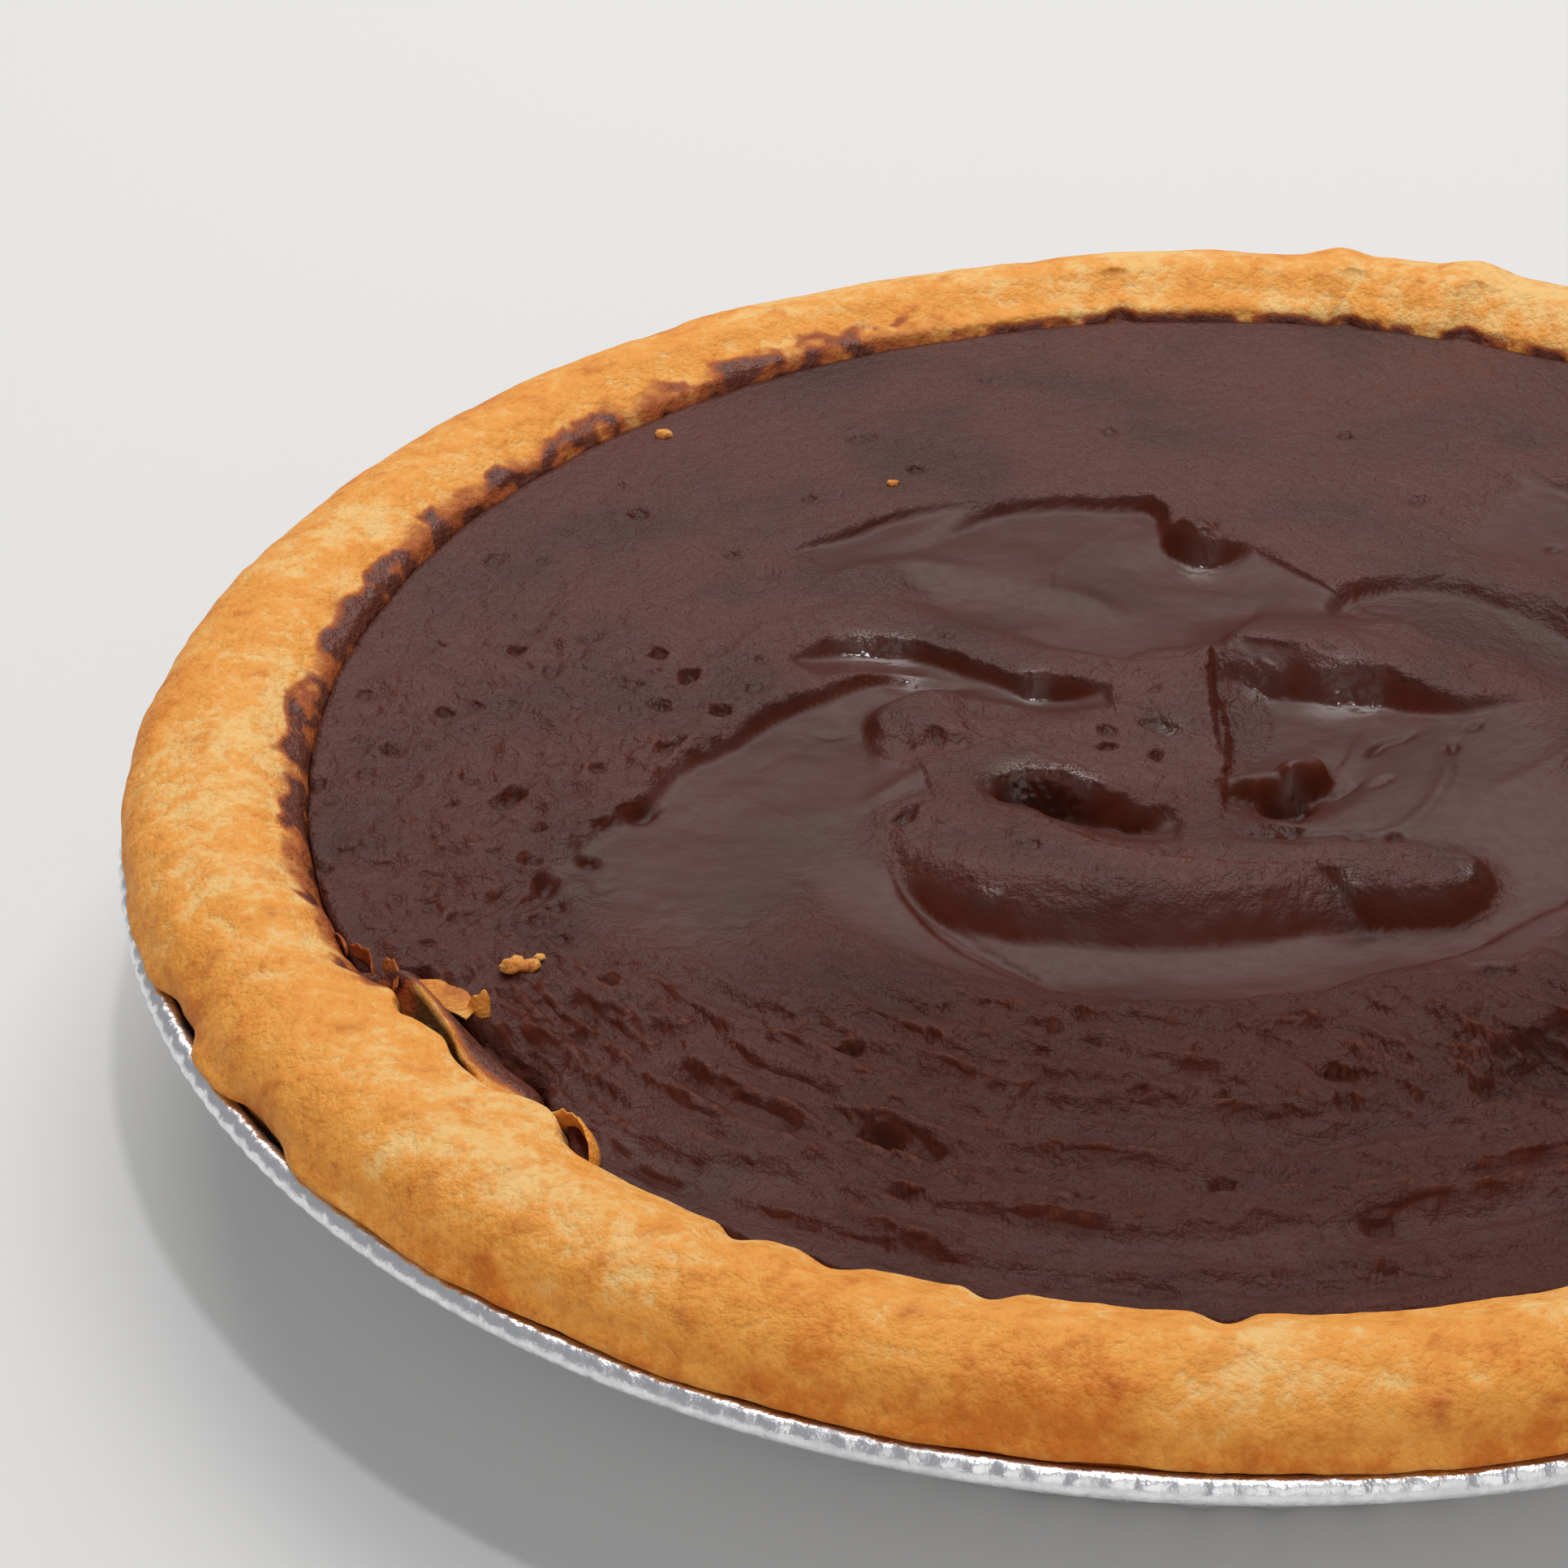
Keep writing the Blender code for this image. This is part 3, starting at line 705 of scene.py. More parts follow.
@dataclass(frozen=True)
class PastryFinish:
    """Baked pastry: cream to golden to orange-brown in soft blotches, with chocolate smeared on it.

    Attributes:
        cream: colour of the palest dough.
        gold: colour of the baked dough.
        brown: colour of the most baked blotches.
        stain: colour where a smear is thin.
        smear: colour where it is thick.
        shade: painted shade: colour of the gaps, of the tear's groove, of the small holes and of the dark
            under the foot.
        browning: how much the wide noise, the blotches, the grain and the baked attribute brown it.
        gloss: roughness of the dough and of the smears.
        shine: strength of the reflections of the dough and of the smears.
        sizes: cells a metre of the wide noise, the blotches and the grain.
        relief: strength and depth of the grain.
    """

    cream: Colour = (0.92, 0.56, 0.195)
    gold: Colour = (0.90, 0.365, 0.060)
    brown: Colour = (0.70, 0.185, 0.014)
    stain: Colour = (0.42, 0.100, 0.022)
    smear: Colour = (0.125, 0.028, 0.013)
    shade: Colour = (0.060, 0.022, 0.008)
    browning: tuple[float, float, float, float] = (1.05, 0.85, 1.20, 0.62)
    gloss: tuple[float, float] = (0.62, 0.40)
    shine: tuple[float, float] = (0.25, 0.36)
    sizes: tuple[float, float, float] = (75.0, 240.0, 560.0)
    relief: tuple[float, float] = (0.7, 1.0 * MM)

    def material(self, grain: bpy.types.NodeTree) -> bpy.types.Material:
        """Builds the material.

        Args:
            grain: the shared grain group.

        Returns:
            The material, which reads the attributes baked, smear and shade.
        """
        made, wire, shader = blank_material("baked_dough")
        baked, smear, shade = (wire.value(key) for key in ("baked", "smear", "shade"))
        wide, blotch = wire.noise(self.sizes[0], 3.0), wire.noise(self.sizes[1], 4.0, 0.6)
        speck = wire.add("ShaderNodeGroup", {"node_tree": grain}, Size=self.sizes[2])
        browning = wire.times(wide, self.browning[0])
        for value, share in zip((blotch, speck.outputs["Height"], baked), self.browning[1:]):
            browning = wire.plus(browning, value, share)
        tone = wire.mix(wire.ranged(browning, 1.40, 1.80), self.cream, self.gold)
        tone = wire.mix(wire.ranged(browning, 1.74, 2.36), tone, self.brown)
        tone = wire.mix(shade, tone, self.shade)
        edge = wire.plus(smear, wire.maths("SUBTRACT", blotch, 0.5), 0.9)
        patch = wire.ranged(edge, 0.40, 0.86)
        tone = wire.mix(wire.ranged(edge, 0.02, 0.46), tone, self.stain)
        tone = wire.mix(patch, tone, self.smear)
        wire.feed(shader.inputs["Base Color"], tone)
        wire.feed(shader.inputs["Roughness"], wire.ranged(patch, 0.0, 1.0, *self.gloss))
        wire.feed(shader.inputs["Specular IOR Level"], wire.ranged(patch, 0.0, 1.0, *self.shine))
        wire.dent(shader, wire.plus(blotch, speck.outputs["Height"], 1.2), *self.relief)
        return made


@dataclass(frozen=True)
class FoilFinish:
    """Bright rolled foil, faintly crinkled.

    Attributes:
        metal: its colour.
        dulled: how much of that is left in the grain.
        gloss: its roughness.
        grain_gloss: roughness that the grain adds.
        size: cells a metre of the grain.
        relief: strength and depth of the grain.
    """

    metal: Colour = (0.95, 0.95, 0.96)
    dulled: float = 0.9
    gloss: float = 0.26
    grain_gloss: float = 0.14
    size: float = 420.0
    relief: tuple[float, float] = (0.6, 0.6 * MM)

    def material(self, grain: bpy.types.NodeTree) -> bpy.types.Material:
        """Builds the material.

        Args:
            grain: the shared grain group.

        Returns:
            The material.
        """
        made, wire, shader = blank_material("bright_foil")
        speck = wire.add("ShaderNodeGroup", {"node_tree": grain}, Size=self.size)
        dull = tuple(self.dulled * part for part in self.metal)
        tone = wire.mix(speck.outputs["Mask"], self.metal, dull)
        wire.feed(shader.inputs["Base Color"], tone)
        shader.inputs["Metallic"].default_value = 1.0
        gloss = wire.plus(self.gloss, speck.outputs["Mask"], self.grain_gloss)
        wire.feed(shader.inputs["Roughness"], gloss)
        wire.dent(shader, speck.outputs["Height"], *self.relief)
        return made


@dataclass
class FoilTin:
    """The tin: a turned section whose sloping side is pleated and whose rolled rim is crimped.

    Attributes:
        flutes: pleats round the side.
        flute_depth: how far a pleat swings in and out.
        crimps: small marks round the rolled rim.
        crimp_depth: how deep they are.
        crumple: how deep the foil of the rim is crumpled.
        around: points in each ring.
    """

    flutes: int = 72
    flute_depth: float = 0.7 * MM
    crimps: int = 236
    crimp_depth: float = 0.30 * MM
    crumple: float = 0.12 * MM
    around: int = 1440

    def section(self) -> Array:
        """The section, up the outside and down the inside.

        Returns:
            Rows of radius, height, share of the pleats and share of the crimps.
        """
        foot, top, bead = BASE_RADIUS, FLANGE_RADIUS, RIM_RADIUS - BEAD_RADIUS
        inner_foot, inner_top = (foot - FOIL, 1.8 * MM), (top - 1.2 * MM, FLANGE_TOP - 2.2 * MM)
        outer_foot, outer_top = (foot + 0.5 * FOIL, 1.2 * MM), (top - 0.4 * MM, FLANGE_TOP - 3.0 * MM)
        rows = [(r, FOIL, 0.0, 0.0) for r in np.linspace(0.06, 0.97, 6) * foot]
        rows += [(foot - 1.6 * MM, FOIL + 0.3 * MM, 0.1, 0.0)]
        share = np.linspace(0.0, 1.0, 9)
        rows += [(*split(inner_foot, inner_top, t), 0.5 + 0.5 * t, 0.0) for t in share]
        rows += [(top - 0.4 * MM, FLANGE_TOP - 0.8 * MM, 0.5, 0.0)]
        rows += [(top + 0.6 * MM, FLANGE_TOP, 0.1, 0.0)]
        rows += [(r, FLANGE_TOP, 0.0, 0.0) for r in np.linspace(top + 2 * MM, bead - BEAD_RADIUS, 4)]
        turn = np.radians(np.linspace(180.0, -90.0, 16))
        rows += [(bead + BEAD_RADIUS * math.cos(t), RIM_LEVEL + BEAD_RADIUS * math.sin(t), 0.0,
                  max(0.0, math.cos(t - math.radians(35.0)))) for t in turn]
        rows += [(r, FLANGE_TOP - FOIL, 0.0, 0.0)
                 for r in np.linspace(bead - 0.6 * MM, top + 1.4 * MM, 4)]
        rows += [(top + 0.4 * MM, FLANGE_TOP - FOIL - 0.8 * MM, 0.5, 0.0)]
        rows += [(*split(outer_top, outer_foot, t), 1.0 - 0.5 * t, 0.0) for t in share]
        rows += [(foot - 1.2 * MM, 0.2 * MM, 0.1, 0.0)]
        rows += [(r, 0.0, 0.0, 0.0) for r in np.linspace(0.97, 0.06, 6) * foot]
        return np.array(rows[::-1])

    def build(self, uneven: Unevenness) -> bpy.types.Object:
        """Makes the tin's mesh. Each ring's radius is the section's, plus a cosine of the angle for the
        pleats, minus a noisy cosine for the crimps and noise for the crumpled rim.

        Args:
            uneven: the noise that makes the crimps differ.

        Returns:
            The piece.
        """
        section = self.section()
        angle = turns(self.around)
        c, s = np.cos(angle), np.sin(angle)
        radius, height, pleat, crimp = (column[:, None] for column in section.T)
        ripple = uneven.layers(60 * c, 60 * s, 0.5, 2)
        mark = np.cos(self.crimps * angle + 2.5 * uneven.at(5 * c, 5 * s)) * 0.5 + 0.5 * ripple
        wave = np.cos(self.flutes * angle)
        lean = np.linspace(0.0, 9.0, len(section))[:, None]
        crumple = uneven.layers(90 * c, 90 * s, lean * 3, 2) * self.crumple * (crimp > 0.05)
        r = radius + pleat * self.flute_depth * wave
        r = r - crimp * self.crimp_depth * np.clip(0.5 + mark, 0.0, 1.3) - np.abs(crumple)
        z = height - crimp * 0.4 * self.crimp_depth * np.clip(ripple + 0.5, 0.0, 1.3)
        points = np.stack([r * c, r * s, np.broadcast_to(z, r.shape)], -1).reshape(-1, 3)
        return closed_at_poles("foil_tin_fine", points, self.around, section[0, 1], section[-1, 1])


class Wobble(Enum):
    """Noise round the pastry's rim: for each layer its amount in metres, its cells and its place."""

    OUTER = ((0.0004, 3.2, 0.0), (0.0003, 9.0, 1.3))
    CREST = ((0.0003, 2.6, 2.1), (0.0003, 8.0, 3.7))
    INNER = ((0.0004, 4.0, 4.2), (0.0005, 12.0, 5.9))
    FOOT = ((0.0002, 24.0, 2.2),)

    def at(self, angle: Array, uneven: Unevenness) -> Array:
        """The noise at each angle, in metres."""
        return sum(amount * uneven.at(cells * np.cos(angle), cells * np.sin(angle), layer)
                   for amount, cells, layer in self.value)


@dataclass
class Pastry:
    """The baked pastry: a lining under the filling and a thick uneven rim.

    Attributes:
        around: points in each ring.
        rows: points over the rim's section.
        flap_from: angle in degrees at which the torn flap starts.
        outs: degrees and millimetres by which the outer side stands out there.
        skirts: degrees and millimetres by which the foot stands out over the foil's bead there.
        ups: degrees and millimetres by which the crest stands higher there.
        inners: degrees and millimetres by which the inner edge lies further out there.
        torn: degrees and radius in millimetres of the ragged inner edge along the tear.
        flap: degrees and radius in millimetres of the thin flap that stands inside it.
        browned: degrees and how much more baked the rim is there.
        knobs: degrees, half width in degrees and height in metres of the knobs on the crest.
        notches: degrees and half width in degrees of the small notches in the inner edge.
        notch: how deep they are.
        holes: plan positions in millimetres of the small holes at the start of the tear, shown only by
            painted shade.
        tallest: height over the foil rim above which the crest rises only half as much.
    """

    around: int = 1140
    rows: int = 80
    flap_from: float = 208.0
    outs: Knots = (
        (0, 1.0), (60, 1.0), (80, 0.6), (110, 0.6), (140, 0.7), (160, 0.8), (172, 1.6), (180, 2.4),
        (188, 2.5), (194, 2.2), (200, 1.5), (206, 0.5), (211, 0.8), (217, 0.3), (224, 0.7), (232, 0.6),
        (240, 0.2), (246, -0.2), (256, 0.3), (266, -0.2), (274, 0.0), (282, 0.4), (300, 0.5), (330, 0.8))
    skirts: Knots = (
        (0, 1.2), (60, 1.0), (90, 1.0), (130, 1.0), (160, 1.0), (172, 1.6), (180, 2.1), (188, 2.2),
        (194, 2.0), (198, 2.2), (203.5, 2.0), (205, 0.1), (208.5, 0.1), (210, 1.9), (213.5, 1.9),
        (215, 0.1), (219, 0.1), (221, 1.9), (232, 1.7), (238, 1.3), (244, 1.1), (250, 1.0), (256, 1.3),
        (262, 1.0), (268, 1.0), (274, 1.1), (280, 1.7), (290, 1.6), (300, 1.2), (330, 1.2))
    ups: Knots = (
        (0, 0), (60, -0.2), (90, -0.5), (110, -1.0), (130, -0.9), (150, -0.8), (170, -0.4), (190, 0),
        (270, 0), (320, 0.2))
    inners: Knots = (
        (0, 0), (60, 0), (90, 0.8), (120, 0.8), (150, 0.4), (180, 0.4), (205, 0), (240, 0.6), (260, 0.9),
        (290, 0.9), (330, 0.3))
    torn: Knots = (
        (203, 101.8), (208.5, 101.5), (210.1, 100), (211.9, 99.1), (213, 98.2), (213.8, 99.4),
        (215.3, 99.7), (216.1, 98.4), (217.9, 97.9), (218.9, 97.8), (220.2, 98.7), (221.2, 98.9),
        (224.5, 98.9), (225.9, 97.4), (227.3, 96.6), (228.2, 96.5), (229.5, 97.3), (230.8, 98.8),
        (232.5, 99.2), (236, 99.9), (240, 100.6))
    flap: Knots = (
        (207, 100.4), (209.5, 97.5), (212.3, 96.0), (215, 96.1), (217.2, 96.5), (218.5, 96.9),
        (220.1, 98.0), (222, 98.3), (224.5, 98.2), (226, 97.0), (228, 96.0), (232, 98.2))
    browned: Knots = (
        (0, 0.02), (40, -0.04), (95, -0.02), (120, 0.10), (142, 0.20), (158, 0.16), (176, 0.10),
        (200, 0.04), (230, 0.0), (244, 0.04), (255, 0.26), (264, 0.22), (272, 0.12), (284, 0.18),
        (300, 0.10), (330, 0.04))
    knobs: tuple[tuple[float, float, float], ...] = ((83.2, 2.6, 0.0009), (74.2, 3.0, 0.0010))
    notches: Knots = (
        (271.1, 2.0), (258.6, 2.0), (249.5, 2.6), (244.0, 2.0), (82.0, 1.6), (98.0, 1.4), (73.5, 1.8))
    notch: float = 1.6 * MM
    holes: Knots = ((-87.1, -46.2), (-84.8, -48.4), (-83.0, -47.6))
    tallest: float = 9.0 * MM

    def bump(self, degrees: Array, at: float, half_width: float) -> Array:
        """1 at an angle, falling smoothly to 0 half_width degrees away."""
        apart = (degrees - at + 180.0) % 360.0 - 180.0
        return smooth(1.0 - np.abs(apart) / half_width)

    def around_ring(self, degrees: Array, knots: Knots, blur: float = 3.5) -> Array:
        """A number that varies smoothly with the angle between knots.

        Args:
            degrees: angles round the pie.
            knots: degrees and millimetres.
            blur: how many degrees the corners at the knots are softened over.

        Returns:
            The number at each angle, in metres.
        """
        at, value = np.array(knots).T
        fine = np.interp(np.arange(0.0, 360.0, 0.5), at, value, period=360.0)
        bell = np.exp(-(np.arange(-16, 17) / (2 * blur)) ** 2)
        soft = np.convolve(np.concatenate([fine[-16:], fine, fine[:16]]), bell / bell.sum(), "valid")
        return MM * np.interp(degrees, np.arange(0.0, 360.0, 0.5), soft, period=360.0)

    def controls(self, angle: Array, uneven: Unevenness) -> Array:
        """Points that the rim's section passes, for each angle.

        Args:
            angle: angles round the pie.
            uneven: the noise of the rim.

        Returns:
            An array of points by angles by radius and height over the foil rim, in metres, from the foot
            on the flange over the crest down to the filling.
        """
        degrees = np.degrees(angle) % 360.0
        out = Wobble.OUTER.at(angle, uneven) + self.around_ring(degrees, self.outs)
        up = Wobble.CREST.at(angle, uneven) + self.around_ring(degrees, self.ups)
        for at, half, high in self.knobs:
            up = up + high * self.bump(degrees, at, half)
        inner = Wobble.INNER.at(angle, uneven)
        for at, half in self.notches:
            inner = inner + self.notch * self.bump(degrees, at, half)
        crestward = inner + self.around_ring(degrees, self.inners)
        foot = self.around_ring(degrees, self.skirts, 0.8) + Wobble.FOOT.at(angle, uneven)
        tear = within(degrees, self.flap_from, 2.5, 228.5, 4.0)
        bared = within(degrees, self.flap_from, 2.5, 234.0, 5.0)
        gape = within(degrees, 209.5, 2.0, 222.5, 3.0)
        torn_at = self.around_ring(degrees, self.torn, 0.45)
        flap_at = self.around_ring(degrees, self.flap, 0.6)
        edge, level, crest, fill = CRUST_RADIUS, FILL_LEVEL, CREST, FILL_RADIUS
        zero = np.zeros_like(angle)
        # the whole rim's section: up the foot, over the outer side and the crest, down the inner wall
        whole = [
            (edge - 0.0016 + zero, FLANGE_TOP + GAP - RIM_LEVEL + zero),
            (edge - 0.0012 + zero, 0.0004 + zero),
            (edge - 0.0008 + foot * 0.22, 0.0014 + foot * 0.2),
            (edge - 0.0007 + foot, 0.0020 + zero),
            (edge - 0.0010 + out * 0.8 + foot * 0.2, 0.0036 + zero),
            (edge - 0.0020 + out, 0.0054 + up * 0.5),
            (edge - 0.0042 + out, crest - 0.0018 + up),
            (edge - 0.0072 + out * 0.5, crest - 0.0005 + up),
            (edge - 0.0106 + zero, crest + up),
            (fill + 0.0055 + crestward, crest - 0.0007 + up),
            (fill + 0.0030 + crestward, crest - 0.0020 + up * 0.6),
            (fill + 0.0016 + inner, level + 0.0014 + zero),
            (fill + 0.0010 + inner, level + 0.0006 + zero),
            (fill + 0.0008 + inner, level + 0.0002 + zero),
            (fill + 0.0006 + inner, level - 0.0002 + zero),
            (fill + 0.0005 + inner * 0.8, level - 0.0007 + zero),
            (fill + 0.0003 + inner * 0.5, level - 0.0014 + zero),
        ]
        # the same with the torn inner edge, and with the flap that stands inside it
        edged = [
            *whole[:10],
            (torn_at + 0.0014, crest - 0.0022 + up * 0.6),
            (torn_at + 0.0002, level + 0.0013 + zero),
            (torn_at - 0.0001, level + 0.0004 + zero),
            (torn_at - 0.0002, level - 0.0002 + zero),
            (torn_at - 0.0003, level - 0.0007 + zero),
            (torn_at - 0.0005, level - 0.0010 + zero),
            (torn_at - 0.0007, level - 0.0014 + zero),
        ]
        ripped = [
            *edged[:12],
            (torn_at - 0.4 * (torn_at - flap_at), level + 0.0009 - 0.0040 * gape),
            (flap_at + 0.00035, level + 0.0006 - 0.0008 * gape),
            (flap_at, level + 0.0013 + 0.0004 * gape),
            (0.0945 + 0.3 * (flap_at - 0.096), level + 0.0004 + zero),
            (0.0934 + zero, level - 0.0020 + zero),
        ]
        whole, edged, ripped = np.array(whole), np.array(edged), np.array(ripped)
        bare = whole + (edged - whole) * bared
        return np.moveaxis(bare + (ripped - bare) * tear, 1, -1)

    def ring(self, radius: Array | float, height: float) -> Array:
        """A ring of the lining: its radius and its height at each angle."""
        return np.stack([np.broadcast_to(radius, self.around), np.broadcast_to(height, self.around)], -1)

    def build(self, uneven: Unevenness) -> bpy.types.Object:
        """Makes the pastry's mesh: the section is a smooth curve through its controls at each angle,
        moved square to itself by noise in space for the soft lumps and blisters of the baked dough.

        Args:
            uneven: the noise of the dough.

        Returns:
            The piece, with the attributes baked, smear and shade.
        """
        angle = turns(self.around)
        controls = self.controls(angle, uneven)
        curve = spline(controls.reshape(len(controls), -1), 16).reshape(-1, self.around, 2)
        span = np.linalg.norm(np.diff(curve, axis=0), axis=-1).mean(axis=1)
        travelled = np.concatenate([[0.0], np.cumsum(span)])
        wanted = np.linspace(0.0, travelled[-1], self.rows)
        low = np.clip(np.searchsorted(travelled, wanted, side="right") - 1, 0, len(span) - 1)
        part = ((wanted - travelled[low]) / span[low])[:, None, None]
        rim = curve[low] * (1 - part) + curve[low + 1] * part
        slope = np.gradient(rim, axis=0)
        slope /= np.linalg.norm(slope, axis=-1, keepdims=True) + 1e-9
        outward = np.stack([slope[..., 1], -slope[..., 0]], -1)
        share = np.linspace(0.0, 1.0, self.rows)[:, None]
        c, s = np.cos(angle), np.sin(angle)
        x, y, z = rim[..., 0] * c / MM, rim[..., 0] * s / MM, rim[..., 1] / MM
        lumps = 0.30 * uneven.layers(x / 11, y / 11, z / 9, 2)
        lumps = lumps + 0.12 * uneven.layers(x / 4.2, y / 4.2, z / 4.2, 2)
        blisters = 0.10 * np.clip(uneven.at(x / 1.7, y / 1.7, z / 1.7) - 0.25, 0.0, 1.0)
        held = smooth(share / 0.10) * smooth((1.0 - share) / 0.08)
        rim = rim + outward * (held * (lumps + blisters) * MM)[..., None]
        excess = rim[..., 1] - self.tallest
        rim[..., 1] = np.where(excess > 0.0, self.tallest + 0.5 * excess, rim[..., 1])
        lining_in = [(BASE_RADIUS - 3.4 * MM, FOIL + GAP), (BASE_RADIUS - 2.3 * MM, 2.2 * MM),
                     (FLANGE_RADIUS - 2.2 * MM, FLANGE_TOP - 1.9 * MM),
                     (FLANGE_RADIUS - GAP, FLANGE_TOP + GAP)]
        edge = rim[-1, :, 0]
        lining_out = [(edge - 0.8 * MM, RIM_LEVEL - 4 * MM),
                      (BASE_RADIUS - 2 * MM, PASTRY_FLOOR + 2 * MM), (BASE_RADIUS - 6 * MM, PASTRY_FLOOR)]
        below = [self.ring(*spot) for spot in lining_in]
        above = [self.ring(*spot) for spot in lining_out]
        section = np.concatenate([below, rim + np.array([0.0, RIM_LEVEL]), above])
        radius, height = section[..., 0], section[..., 1]
        points = np.stack([radius * c, radius * s, height], -1).reshape(-1, 3)
        values = self.tones(angle, share, x, y, z, uneven, len(below), len(above))
        return closed_at_poles("pastry_fine", points, self.around, FOIL + GAP, PASTRY_FLOOR, values)

    def tones(self, angle: Array, share: Array, x: Array, y: Array, z: Array, uneven: Unevenness,
              before: int, after: int) -> dict[str, Array]:
        """How baked, smeared and shaded each point of the rim is.

        Args:
            angle: angles round the pie.
            share: share of the way over the rim's section, from the foot to the filling.
            x: positions in millimetres.
            y: positions in millimetres.
            z: heights in millimetres.
            uneven: the noise of the dough.
            before: rings of the lining before the rim.
            after: rings of the lining after the rim.

        Returns:
            The attributes, from 0 to 1.
        """
        degrees = np.degrees(angle) % 360.0
        front = 0.5 - 0.5 * np.sin(angle)
        outer = smooth((0.50 - share) / 0.45)
        baked = 0.12 + 0.34 * outer + 0.30 * front * smooth((0.75 - share) / 0.6)
        baked = baked + self.around_ring(degrees, self.browned) / MM
        band = 0.76 + 0.06 * uneven.at(x / 4.0, y / 4.0, 6.1)
        wall, inner = smooth((share - band) / 0.07), smooth((share - band) / (0.97 - band))
        left = within(degrees, 104.0, 14.0, 214.0, 4.0)
        back = within(degrees, 40.0, 20.0, 118.0, 10.0)
        strong = 0.80 + 0.20 * smooth((degrees - 140.0) / 12.0)
        radius = np.hypot(x, y)
        torn_at = self.around_ring(degrees, self.torn, 0.6) / MM
        flap_at = self.around_ring(degrees, self.flap, 0.6) / MM
        patches = uneven.layers(x / 5.0, y / 5.0, z / 4.0 + 3.0, 3)
        smear = wall * left * strong * (0.18 + 0.34 * inner + 0.62 * smooth((patches + 0.22) / 0.6))
        smear = np.maximum(smear, back * smooth((share - 0.88) / 0.06) * smooth((patches + 0.7) / 0.9))
        inside = within(degrees, 208.0, 2.0, 229.0, 2.0)
        smear = np.maximum(smear, inside * smooth((flap_at - 0.5 - radius) / 0.7))
        # painted shade: dark in the tear's groove and at the small holes, and below in the gaps and under
        # the foot
        gape = within(degrees, 209.5, 2.0, 223.0, 2.5)
        groove = gape * smooth((torn_at + 0.6 - radius) / 0.4) * smooth((radius - flap_at + 0.30) / 0.4)
        groove = groove * smooth((6.1 - z) / 0.6)
        holes = sum(np.exp(-(((x - px) ** 2 + (y - py) ** 2) / 1.1)) for px, py in self.holes)
        groove = np.maximum(groove, np.clip(1.2 * holes, 0.0, 0.9) * smooth((share - 0.6) / 0.1))
        gaps = np.maximum(self.bump(degrees, 206.7, 2.4), self.bump(degrees, 217.0, 3.2))
        shade = np.maximum(smooth((0.13 - share) / 0.06) * (0.04 + 0.96 * gaps), 0.9 * groove)
        full = {}
        for key, value in (("baked", baked), ("smear", smear), ("shade", shade)):
            value = np.broadcast_to(value, x.shape)
            full[key] = np.vstack([np.zeros((before, len(angle))), value, np.zeros((after, len(angle)))])
        return full


